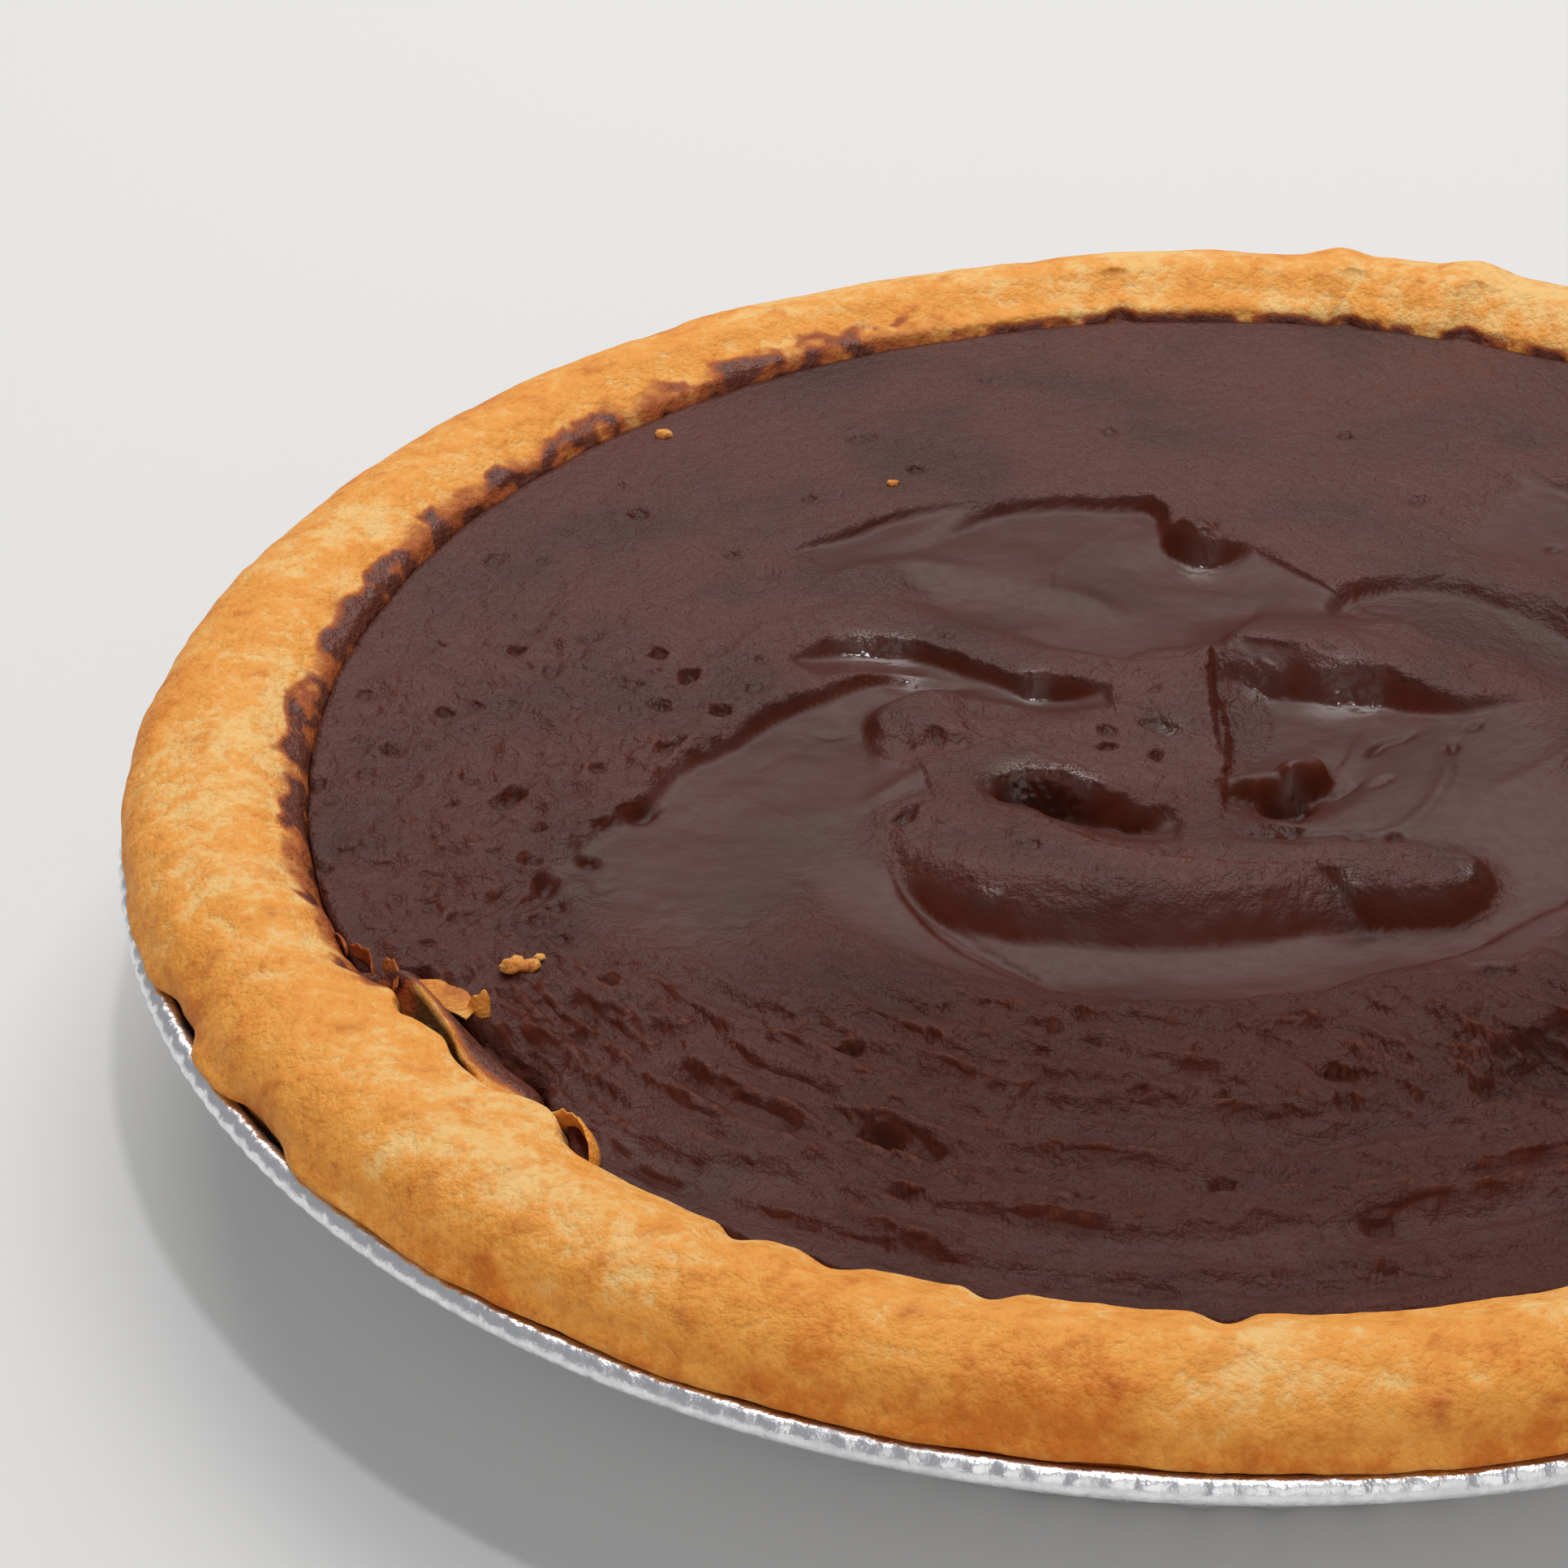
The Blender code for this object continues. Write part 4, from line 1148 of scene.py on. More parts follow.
STEPS = (
    # the long edge of the big crescent
    Step(Path(((-76, -36, 0, 0, 3.5), (-71, -29, 0.1, 0.4, 3.5), (-66.5, -21.5, 0.2, 0.7, 2.6),
        (-62, -13.5, 0.3, 1.1, 2.0), (-58.5, -6, 0.2, 1.1, 1.8), (-54, -1.5, 0.3, 1.3, 1.8),
        (-49.5, 4.2, 0.4, 1.4, 1.5), (-45, 8.6, 0.4, 1.3, 1.3), (-40, 12.3, 0.4, 1.1, 1.1),
        (-35, 13.8, 0.3, 0.9, 1.0), (-30, 13.2, 0.1, 0.4, 1), (-26, 12.8, 0, 0, 1))), 30.0, ragged=0.5),
    # the left wall of the rough shelf
    Step(Path(((-27, 12.6, 0, 0, 1), (-31, 11.9, 0.8, 0.2, 1.2), (-35, 9.8, 1.3, 0.3, 1.2),
        (-38.2, 6.2, 1.5, 0.4, 1.2), (-38.4, 2, 1.4, 0.3, 1.3), (-37.6, -2, 0.9, 0.1, 1.8),
        (-36.8, -6, 0.6, 0, 3), (-36.5, -11, 0.4, 0, 3), (-36.5, -15, 0, 0, 3))), 4.0, 26.0, calm=0.0),
    # the tongue folded over in the middle: its front, its tip and its back
    Step(Path(((-37, -13, 0, 0, 2, -0.8), (-35.6, -17.5, 0.6, 0.4, 1.2, -0.8),
        (-34, -22.5, 0.8, 0.6, 1.8, -0.8), (-31.5, -27, 1.3, 1.0, 3.0, -0.8),
        (-27, -30.6, 1.9, 1.5, 4.2, -0.8), (-20, -33.2, 2.3, 1.9, 5.0, -0.8),
        (-12, -34.2, 2.4, 2.0, 5.0, -0.8), (-4, -34, 2.4, 2.0, 5.0, -0.8),
        (3, -32.6, 2.3, 1.9, 4.8, -0.8), (8, -31, 2.2, 1.7, 4.4, -0.8), (13, -29.6, 2.1, 1.6, 4.0, -0.8),
        (18, -29.4, 2.1, 1.6, 3.2, -0.9), (22, -29.4, 2.1, 1.6, 3.0, -0.9),
        (25.6, -28.6, 2.1, 1.4, 2.4, -0.9), (27.9, -26.0, 2.1, 1.2, 1.8, -0.9),
        (28.4, -22.4, 2.0, 1.0, 2.0, -0.9), (26.3, -19.8, 1.8, 0.8, 2.2, -0.8),
        (21, -18.6, 1.6, 0.7, 2.0, -0.8), (14, -18.6, 1.4, 0.6, 1.8, -0.8),
        (7, -18.8, 1.0, 0.4, 1.6, -0.8), (2, -17.8, 0.5, 0.2, 1.6, -0.8), (-2, -16, 0, 0, 1.6, -0.8))),
        14.0, 22.0, ragged=0.0),
    # the crease where the tongue's tip laps over its front
    Step(Path(((5.6, -22.6, 0, 0, 1.2), (8.4, -24.2, 0.1, 0.4, 1.2), (11.2, -25.8, 0.2, 0.8, 1.2),
        (13.6, -27.8, 0.2, 0.9, 1.2), (16, -30.2, 0.1, 0.5, 1.2), (17.6, -32, 0, 0, 1.2))), 5.0, 5.0,
        calm=0.0, ragged=0.0, soft=1.2),
    # the cut round the left end of the tongue
    Step(Path(((-8, -46.8, 0, 0, 0.6), (-14, -45.8, 0.1, 0.5, 0.6), (-20, -43, 0.15, 0.8, 0.6),
        (-25, -38.8, 0.15, 0.9, 0.6), (-30, -33.6, 0.1, 0.9, 0.6), (-33, -28, 0.1, 0.8, 0.6),
        (-34.8, -22, 0.1, 0.8, 0.6), (-35.6, -17, 0.1, 0.5, 0.6), (-36, -13, 0, 0, 0.6))), 7.0, 5.0,
        ragged=0.08),
    # the front lip of the crescent
    Step(Path(((62, 4, 0, 0, 2), (56, -6, 0.2, 0.8, 1.8), (47, -16, 0.2, 1.0, 1.4),
        (38, -25.5, 0.25, 1.0, 1.2), (31, -31.5, 0.3, 1.1, 1.0), (26, -35.5, 0.3, 1.1, 0.9),
        (20, -39, 0.3, 1.1, 0.9), (13, -43, 0.3, 1.0, 0.9), (8, -45, 0.3, 0.9, 0.9),
        (1, -46.6, 0.3, 0.8, 0.9), (-6, -47, 0.25, 0.7, 0.9), (-12, -46.4, 0.1, 0.3, 1.0),
        (-18, -45.5, 0, 0, 1.2))), 20.0, 7.0, ragged=0.45),
    # the upright cut in the middle
    Step(Path(((0.4, -3, 0, 0, 0.5), (-0.2, 2, 0.2, 0.7, 0.5), (-0.7, 7, 0.3, 1.1, 0.5),
        (-1, 12, 0.3, 1.3, 0.5), (-1.2, 17, 0.3, 1.3, 0.5), (-1.2, 20.5, 0.2, 0.8, 0.6),
        (-0.5, 23, 0, 0, 0.8))), 12.0, 10.0, ragged=0.1, soft=1.0),
    # the right-hand fold
    Step(Path(((-3, 16.6, 0, 0, 2), (-0.2, 17.2, 1.2, 1.0, 2.4), (3, 17, 1.8, 2.0, 3.4),
        (8, 15.8, 1.8, 2.6, 3.6), (13, 14.8, 1.7, 2.7, 3.0), (17.5, 14, 1.4, 2.4, 2.2),
        (21.5, 12.2, 1.0, 2.0, 2.2), (26, 10.6, 0.8, 1.2, 1.8), (29.5, 10.8, 0.5, 0.6, 1.6),
        (34, 12, 0.2, 0.3, 2), (40, 13, 0, 0, 2))), 32.0, 9.0),
    # the fold above the middle
    Step(Path(((-49, 15.6, 0, 0, 1.2), (-46.5, 17.6, 0.3, 1.0, 1.3), (-43.5, 19.3, 0.5, 1.5, 1.5),
        (-39.5, 19.9, 0.5, 1.7, 1.6), (-35, 19.2, 0.5, 1.7, 1.5), (-31, 17.4, 0.5, 1.5, 1.4),
        (-27.8, 15.4, 0.4, 1.3, 1.2), (-24.5, 13.6, 0.4, 1.3, 1.2), (-21, 12.5, 0.5, 1.9, 1.3),
        (-17, 12.1, 0.5, 1.8, 1.3), (-13.8, 12, 0.2, 0.9, 1.2), (-12, 12.2, 0, 0, 1.2))), 7.0, 7.0),
    # the upper scoop, its corner and the lump beside it
    Step(Path(((-43, 38.5, 0, 0, 2.5), (-40, 40.6, 0, 0.4, 2.4), (-36.5, 42.8, 0.1, 0.6, 2.0),
        (-33, 45.8, 0.1, 0.8, 1.6), (-29.5, 49.3, 0.2, 1.0, 1.3), (-25.5, 52, 0.2, 1.2, 1.3),
        (-20, 53.4, 0.2, 1.2, 1.2), (-14, 53.8, 0.3, 1.3, 1.2), (-9.6, 53.8, 0.3, 1.5, 1.2),
        (-7.7, 52, 0.3, 1.5, 1.0), (-7.4, 49, 0.4, 1.4, 1.2), (-6.8, 46, 0.9, 1.4, 1.6),
        (-4.8, 43.4, 1.0, 1.9, 2.0), (-1.5, 42, 0.6, 1.9, 2.0), (1.5, 42.6, 0.3, 1.3, 1.6),
        (4, 44.6, 0, 0, 1.6))), 26.0, 7.0),
    # the thin edge that leads to it
    Step(Path(((-52, 40, 0, 0, 0.9), (-48, 42.3, 0.15, 0.5, 0.9), (-43.5, 45, 0.2, 0.8, 0.9),
        (-39.5, 48.2, 0.2, 0.9, 0.9), (-35.5, 50, 0.15, 0.6, 1.4), (-31, 51.5, 0.1, 0.4, 1.6),
        (-27.5, 53, 0, 0, 1.6))), 9.0, 5.0),
    # soft steps inside the scoop
    Step(Path(((-41, 36, 0, 0, 3), (-36, 35.4, 0.1, 0.3, 3), (-31, 34.6, 0.1, 0.5, 3),
        (-26, 33.8, 0.1, 0.5, 3), (-21.5, 31.6, 0.1, 0.5, 2.8), (-18.4, 28.6, 0.1, 0.3, 2.6),
        (-17, 25.5, 0, 0, 2.4))), 9.0, 9.0, soft=1.4),
    # the near rim of the scoop
    Step(Path(((5, 33, 0, 0, 1.6), (3.4, 28.5, 0.2, 0.5, 1.6), (1.2, 24, 0.3, 0.8, 1.5),
        (-1.8, 20.6, 0.3, 0.9, 1.4), (-6, 18.8, 0.3, 0.9, 1.3), (-10.5, 18.2, 0.3, 0.9, 1.3),
        (-16, 19.4, 0.3, 0.8, 1.6), (-21, 21, 0.2, 0.7, 2.4), (-27, 24.2, 0.2, 0.5, 3.4),
        (-33, 25.4, 0.1, 0.3, 3.6), (-38, 26.5, 0, 0, 3.6))), 16.0, 8.0),
    # the ridge behind the right-hand fold
    Step(Path(((11.6, 28.5, 0, 0, 1.4), (12.3, 31, 0.3, 0.9, 1.4), (13.8, 34, 0.3, 1.4, 1.5),
        (17.5, 36.4, 0.3, 1.5, 1.6), (22.5, 37, 0.3, 1.3, 1.7), (28, 35.6, 0.3, 1.3, 1.9),
        (34, 32.4, 0.3, 1.6, 2.4), (40, 28, 0.4, 2.0, 3.0), (46, 22, 0.3, 1.8, 3), (52, 14, 0, 0, 3))),
        14.0, 8.0, calm=0.6),
    # the end of the shelf below the standing peak
    Step(Path(((-3, -7.6, 0, 0, 1.2), (0.6, -7.8, 0.3, 0.4, 1.2), (4, -8.4, 0.5, 0.9, 1.2),
        (7.4, -8.2, 0.5, 1.2, 1.2), (10.4, -6.4, 0.5, 1.2, 1.0), (12, -3.8, 0.4, 0.9, 1.0),
        (11.4, -1, 0.2, 0.4, 1.0), (9, 1.4, 0, 0, 1))), 5.0, 6.0, calm=0.3),
    # the wall behind the dark hollow
    Step(Path(((-27, -8.5, 0, 0, 1.6), (-24, -8.2, 0.3, 0.8, 1.8), (-20, -7.8, 0.4, 1.6, 2.2),
        (-16, -8.6, 0.5, 1.8, 2.4), (-12.5, -10.6, 0.6, 1.6, 2.6), (-9, -13, 0.5, 1.2, 2.4),
        (-5.5, -13.8, 0.3, 0.7, 2.0), (-3, -14, 0, 0, 2))), 6.0, 8.0),
    # faint steps on the shelf
    Step(Path(((-31, 9.4, 0, 0, 1.6), (-27, 8.6, 0.2, 0.6, 1.6), (-23.5, 7.2, 0.2, 0.6, 1.6),
        (-20, 6, 0, 0, 1.6))), 6.0, 5.0, calm=0.3),
    Step(Path(((-37, -1.6, 0, 0, 1.8), (-33, -0.6, 0.2, 0.6, 1.8), (-28, 0.4, 0.2, 0.6, 1.8),
        (-23, 3, 0, 0, 1.8))), 6.0, 5.0, calm=0.3),
    # the wide sweep that closes the swirl on the right
    Step(Path(((30, 64, 0, 0, 2), (40, 59, 0.2, 0.8, 2.0), (52, 52, 0.3, 1.4, 2.0),
        (66, 34, 0.3, 1.6, 2.0), (72, 12, 0.3, 1.6, 2.0), (70, -10, 0.2, 1.2, 2.2),
        (62, -26, 0.1, 0.5, 2.4), (56, -34, 0, 0, 2.4))), 24.0, 9.0, ragged=0.7),
    # long marks of the knife in front
    Step(Path(((-34, -80.5, 0, 0, 1.2), (-28, -82.6, 0.2, 0.4, 1.2), (-20, -85.6, 0.3, 0.6, 1.3),
        (-12, -87.4, 0.3, 0.8, 1.4), (0, -87, 0.3, 0.8, 1.4), (10, -84.6, 0.3, 0.8, 1.4),
        (18, -82.9, 0.4, 1.2, 1.4), (27, -80, 0.3, 0.9, 1.4), (38, -74, 0, 0, 1.4))), 6.0, 5.0, crisp=0.0,
        soft=3.0, calm=0.35, ragged=0.5),
    Step(Path(((-24, -65, 0, 0, 1.4), (-16, -66.6, 0.2, 0.6, 1.4), (-5, -66.8, 0.3, 0.9, 1.6),
        (4, -67.4, 0.3, 1.0, 1.7), (9, -68.6, 0.3, 0.9, 1.6), (15, -67, 0.3, 0.9, 1.6),
        (24, -66, 0.3, 0.7, 1.6), (34, -62, 0, 0, 1.6))), 6.0, 6.0, crisp=0.0, soft=3.0, calm=0.2,
        ragged=0.5),
    Step(Path(((-18, -52, 0, 0, 1), (-12, -54.8, 0.2, 0.5, 1), (-5, -58.4, 0.2, 0.6, 1),
        (1, -62, 0.2, 0.5, 1), (7, -65.4, 0, 0, 1))), 4.0, 4.0, crisp=0.0, soft=2.2, calm=0.2,
        ragged=0.4),
    Step(Path(((-20, -75, 0, 0, 1.2), (-14, -76, 0.2, 0.6, 1.2), (-6, -78, 0.3, 0.7, 1.2),
        (2, -79, 0.2, 0.6, 1.2), (9, -77, 0, 0, 1.2))), 5.0, 5.0, crisp=0.0, soft=3.0, calm=0.1,
        ragged=0.5),
    Step(Path(((-42, -70, 0, 0, 1.4), (-35, -71.4, 0.2, 0.7, 1.4), (-29, -73.6, 0.3, 0.9, 1.4),
        (-23, -76.4, 0, 0, 1.4))), 5.0, 5.0, crisp=0.0, soft=3.0, calm=0.1, ragged=0.5),
    Step(Path(((-62, -69, 0, 0, 1.4), (-57, -73.4, 0.2, 0.6, 1.4), (-50, -77.6, 0.3, 0.7, 1.4),
        (-40, -79.4, 0.2, 0.5, 1.4), (-31, -79.4, 0, 0, 1.4))), 5.0, 6.0, crisp=0.0, soft=2.2, calm=0.4,
        ragged=0.4),
    Step(Path(((-62, -71.6, 0, 0, 1.6), (-54, -79.6, 0.2, 0.7, 1.6), (-44, -85, 0.3, 0.8, 1.6),
        (-30, -90.4, 0.3, 0.8, 1.6), (-14, -93, 0.2, 0.6, 1.6), (6, -92.6, 0.2, 0.5, 1.6),
        (26, -89, 0, 0, 1.6))), 6.0, 6.0, crisp=0.0, soft=2.2, calm=0.3, ragged=0.4),
    Step(Path(((10, -44, 0, 0, 1), (14, -46.4, 0.1, 0.5, 1), (20, -49.6, 0.2, 0.6, 1),
        (28, -53, 0, 0, 1))), 4.0, 4.0, crisp=0.0, soft=2.2, calm=0.2),
)

CREASES = tuple(Crease(Path(tuple(rows)), width) for width, *rows in (
    # the second line inside the cut
    (0.4, (-32, -27, 0), (-30.5, -30.5, 0.35), (-25.5, -35.3, 0.4), (-22, -38.6, 0.4), (-19, -41.2, 0.5),
        (-16.5, -44, 0.35), (-15, -45.6, 0)),
    # soft ridges along the lower left of the upper scoop
    (2.2, (-59, 11, 0), (-57, 14, -0.4), (-52, 20, -0.5), (-46, 25, -0.5), (-38, 27.5, -0.4),
        (-30, 26, -0.3), (-22, 22, 0)),
    (1.8, (-50, 29, 0), (-44, 34, -0.3), (-38, 38, -0.4), (-32, 38, -0.3), (-27, 37, 0)),
    (1.8, (-22, 34.5, 0), (-17, 33, -0.4), (-13, 30, -0.3), (-11, 27, 0)),
    (1.2, (-39, -13, 0), (-36, -11, -0.3), (-31, -6, -0.4), (-25, -1, -0.4), (-20, 3, 0)),
    # small cuts and strings in the right-hand scoop
    (0.55, (15.6, 1.4, 0), (16.6, 2.6, 0.7), (17.8, 4.6, 0.6), (19.6, 5.6, 0.6), (22, 7.2, 0)),
    (0.45, (11.4, -7.4, 0), (12.6, -6.4, 0.5), (14, -5, 0.5), (15.6, -3.2, 0)),
    (0.4, (16, -6, 0), (17, -5, 0.5), (18, -4, 0.5), (18.8, -3, 0)),
    (0.35, (8, -14, 0), (8.5, -12, 0.4), (9, -10.6, 0.4), (9.8, -8.8, 0)),
    (0.4, (2, -16.8, 0), (5, -16.4, 0.5), (9, -15.9, 0.5), (14, -14.8, 0.3), (20, -12.8, 0)),
    (0.8, (17, -16, 0), (21, -12, -0.3), (23.4, -7, -0.4), (24.6, -2, -0.4), (24, 2, 0)),
    (1.4, (28, -8, 0), (34, -3, -0.4), (40, 3, -0.4), (48, 9, 0)),
    # small lines in front
    (1.1, (-54, -61.6, 0), (-52, -62.8, 0.9), (-49.4, -65, 1.1), (-47.6, -66.2, 0.8), (-46.6, -66.8, 0)),
    (0.5, (-67.6, -53.4, 0), (-66, -54.6, 0.4), (-64.4, -56, 0)),
    (0.7, (-70, -56, 0), (-68, -56.2, 0.5), (-64, -57.4, 0.5), (-61, -57, 0)),
    (0.6, (-49, -57, 0), (-46, -56.4, 0.4), (-43, -54, 0.3), (-41, -52, 0)),
    (0.5, (2, -50, 0), (6, -54, 0.35), (12, -58, 0.35), (20, -61, 0)),
    (0.5, (8, -49, 0), (14, -53, 0.3), (22, -56.6, 0.3), (30, -59, 0)),
    (0.5, (31, -38, 0), (34, -40.6, 0.4), (38, -43.8, 0.4), (44, -48, 0)),
    (0.5, (29, -40.4, 0), (33, -43.4, 0.4), (38, -47, 0.4), (44, -51, 0)),
    (0.5, (33.6, -36, 0), (37, -38.6, 0.4), (41, -41.6, 0.4), (47, -45, 0)),
    (0.6, (12, -71, 0), (15, -74, 0.4), (20, -77, 0.4), (27, -77.6, 0)),
    (0.6, (15, -70.6, 0), (18, -73, 0.4), (23, -75, 0.4), (30, -75, 0)),
    (0.6, (-60, -73.6, 0), (-57.6, -76, 0.5), (-54, -80, 0.5), (-53, -83, 0)),
    # dents and scratches on the left
    (0.6, (-75.4, 19, 0), (-75, 17, 0.7), (-74.8, 14, 0.5), (-75, 11, 0.7), (-75, 10, 0)),
    (0.7, (-74, 17.4, 0), (-72, 16, 0.4), (-70, 14.4, 0)),
    (0.7, (-82, 17.4, 0), (-79.6, 15, 0.4), (-77.6, 12, 0)),
    (0.9, (-57.6, 15, 0), (-56.4, 17, 0.6), (-55, 19, 0)),
    (0.6, (-95, -25.4, 0), (-92, -26, 0.6), (-88, -27.4, 0.5), (-84, -27, 0)),
    (0.8, (-88, -33, 0), (-85, -34.6, 0.6), (-81, -34.4, 0.7), (-80.6, -31, 0.5), (-82, -28.6, 0)),
    (0.7, (-86, -30, 0), (-83, -29.6, 0.5), (-81.4, -28, 0)),
    (0.9, (-79.6, -39.6, 0), (-78, -37.8, 0.8), (-76, -35, 0.9), (-73.4, -31.6, 0.6), (-72.6, -30, 0)),
    (0.9, (-73, -37, 0), (-72, -34, 0.5), (-70.4, -31, 0.7), (-69.6, -28.6, 0)),
    (0.6, (-71, -44, 0), (-70.6, -39, 0.4), (-69.6, -35, 0.3), (-68, -32, 0)),
))

PITS = tuple(Pit(*row) for row in (
    # the dark glossy hollow behind the tongue, its lumpy back wall and its shallow right end
    (-20.4, -9.6, 3.6, 2.0, 6.0, 3.0, 1.2), (-16.2, -11.4, 4.4, 1.9, -24.0, 2.2, 1.4),
    (-9.8, -14.4, 4.4, 1.0, -16.0, 1.2), (-16.6, -7.6, 3.6, 1.5, -16.0, -0.9, 0.9),
    (-11.4, -10.6, 3.4, 1.6, -28.0, -0.9, 0.9), (-6.0, -12.4, 2.2, 1.0, 0.0, -0.6, 0.9),
    # the standing peak with its raised nose, and the hole under it
    (5.2, -6.2, 4.6, 1.7, 10.0, -1.5, 0.7), (8.8, -4.6, 2.6, 1.7, 24.0, -1.8, 0.7),
    (10.4, -3.6, 1.1, 1.0, 0.0, -1.0, 0.7), (6.4, -10.0, 2.2, 1.1, -24.0, 1.5, 1.4),
    (8.6, -9.0, 1.6, 1.2, 40.0, 1.3, 1.4),
    # the pale lump at the corner of the scoop
    (-4.6, 45.4, 2.6, 2.0, -10.0, -1.3, 0.8), (-0.8, 43.8, 2.6, 1.4, 8.0, -0.9, 0.8),
    # the hollow at the front right
    (34.0, -56.0, 8.0, 6.0, 25.0, 2.8), (28.0, -61.5, 2.4, 1.6, 20.0, 1.6),
    # the bubble with the dark back wall
    (-7.0, 4.8, 3.2, 1.7, -50.0, 1.1),
    # bubbles and dents that show one by one
    (-76.2, -13.6, 2.9, 1.6, 58, 1.4), (-77.4, -18, 2.2, 0.8, 80, 0.5), (-69, 48, 1.6, 1.0, 80, 1.0),
    (-74, 41.4, 1.2, 0.9, 0, 0.6), (-84.6, 37, 1.4, 1.2, 0, 0.7), (-85, 29.4, 1.0, 0.8, 0, 0.4),
    (-44, 67.5, 1.8, 0.9, 20, 0.8), (-37, 60, 1.2, 1.0, 0, 1.0), (-33, 64, 0.9, 0.8, 0, 0.6),
    (-49.4, 52.4, 1.1, 0.8, 60, 0.8), (-52.4, 34.2, 1.4, 1.0, 30, 0.6), (-63.4, 16.2, 1.4, 1.1, 60, 1.3),
    (-59.4, 11.4, 1.4, 1.1, 70, 1.4), (-61.8, 5.4, 1.6, 0.9, -55, 1.0), (-55.2, 4.4, 1.4, 1.1, 30, 1.2),
    (-59.6, -2.6, 2.5, 1.0, 58, 1.2), (-85.6, 3.4, 1.3, 1.0, 0, 1.2), (-82.6, 3.8, 1.2, 0.9, 0, 0.7),
    (-90, 5.2, 0.8, 0.7, 0, 0.5), (-94.8, 1.6, 0.7, 0.6, 0, 0.5), (-94.6, -3, 0.8, 0.7, 0, 0.6),
    (-88, 12, 0.9, 1.1, 0, 0.5), (-97.8, -12.6, 2.2, 0.9, 100, 1.4), (-95.6, -16, 1.2, 0.6, 130, 0.8),
    (-81, -10.4, 1.1, 0.8, -30, 0.7), (-67, -7.6, 1.2, 0.9, 0, 0.8), (-72.4, -20.2, 1.2, 0.7, 0, 0.9),
    (-61.8, -14.8, 2.6, 1.5, 50, 1.1), (-65.4, -18.6, 1.3, 0.8, 30, 0.9), (-66.6, -25, 1.2, 1.2, 0, 1.1),
    (-72.6, -26.4, 1.3, 1.0, 30, 0.9), (-76.6, -24.6, 0.8, 0.7, 0, 0.7), (-70.4, -30, 1.6, 1.3, 60, 0.9),
    (-69, -33.6, 1.2, 0.9, 0, 0.7), (-94.4, -28.4, 2.0, 0.8, 110, 1.1), (-79, -37.6, 1.2, 0.8, 60, 0.9),
    (-81, -41.6, 1.0, 0.8, 0, 0.7), (-61.4, -48.4, 1.3, 0.7, 110, 1.3), (-56.6, -52.6, 0.6, 0.5, 0, 0.7),
    (-55.4, -54.8, 0.5, 0.4, 0, 0.6), (-36.6, -58, 1.5, 1.0, 0, 1.2), (-37.8, -55.6, 0.6, 0.5, 0, 0.8),
    (-28, -56.4, 0.8, 0.6, 0, 0.8), (-17.2, -58.2, 0.6, 0.5, 0, 0.8), (-13.6, -51, 1.5, 0.7, -40, 0.9),
    (-15.4, -53.6, 1.8, 0.6, 30, 0.5), (12.6, -59.2, 2.3, 1.1, -8, 1.3), (28.6, -40.8, 2.2, 1.3, 10, 1.1),
    (1, -64, 0.8, 0.7, 0, 0.9), (-7, -64, 1.0, 0.8, 0, 0.9), (13.6, -64.6, 1.2, 0.9, 20, 1.0),
    (-29, -81.6, 1.4, 0.8, 0, 0.9), (-34.4, -85.8, 1.0, 0.7, 0, 0.8), (-12, -81.8, 1.2, 0.7, 0, 0.8),
    (1.4, -78.6, 1.6, 0.8, 0, 0.9), (-32, -72.4, 2.2, 1.1, -20, 1.1), (-27, -74.8, 1.6, 0.8, -20, 1.0),
    (-4.4, -95.6, 2.4, 1.2, 0, 0.9), (-14, -94.4, 1.6, 0.8, 10, 0.7), (16.6, -83.6, 2.0, 0.8, 0, 0.8),
    (24.5, -52.5, 1.6, 0.9, 30, 0.7), (-42.6, 2.4, 1.9, 1.0, 0, 0.55), (-12.6, 2.8, 1.1, 0.9, 0, 0.9),
    (-12.6, -0.8, 1.3, 0.8, 0, 1.0), (-6.7, -2.2, 1.3, 0.6, 95, 1.1), (-7.8, 11.2, 0.8, 0.6, 30, 0.7),
    (-14.6, 18.8, 0.9, 0.7, 0, 0.7), (3.4, 8.2, 1.2, 0.8, 0, 0.6), (25.2, 2.8, 1.7, 0.7, 80, 0.8),
    (27.6, 7, 1.2, 0.8, 40, 0.6), (6.8, -14.6, 2.2, 0.8, -10, 0.9), (7.6, -15.6, 1.4, 0.7, 30, 0.9),
    (22, 55.4, 1.8, 1.2, -20, 0.8), (38, 45.4, 1.0, 0.8, 0, 0.6), (-22.6, -21, 1.0, 0.5, 20, 0.5),
    (-21.2, -23.4, 0.8, 0.6, 0, 0.5), (-14, -23, 1.0, 0.5, 10, 0.5), (-4.8, -21, 0.8, 0.4, 0, 0.5),
    (-9.4, -20.6, 0.6, 0.4, 0, 0.4), (1.4, -23, 0.7, 0.4, 0, 0.4), (17.6, -22.4, 0.5, 0.4, 0, 0.5),
    (-33.4, -15.6, 2.6, 1.0, 65, 1.0), (14.6, -15.6, 1.4, 0.8, 0, 0.7), (18.6, -15.8, 1.4, 0.9, 0, 0.8),
))


WET = (
    # places where the chocolate shines as if wet: x, y and radius in millimetres
    (-21.4, -7.6, 2.4), (-18.0, -8.4, 2.4), (-14.6, -8.6, 1.8), (-40.4, 19.6, 2.2), (-36.6, 19.4, 2.2),
    (-34.6, 14.0, 1.4), (-21.2, 12.6, 1.8), (4.6, 16.6, 2.0), (12.6, 14.2, 3.0), (16.4, 13.2, 1.8),
    (-3.0, 41.6, 2.0), (-23.8, -31.0, 1.2), (13.4, -27.4, 1.2), (26.6, -24.6, 0.9), (8.0, -7.4, 1.2),
    (-5.6, 3.8, 1.2),
)


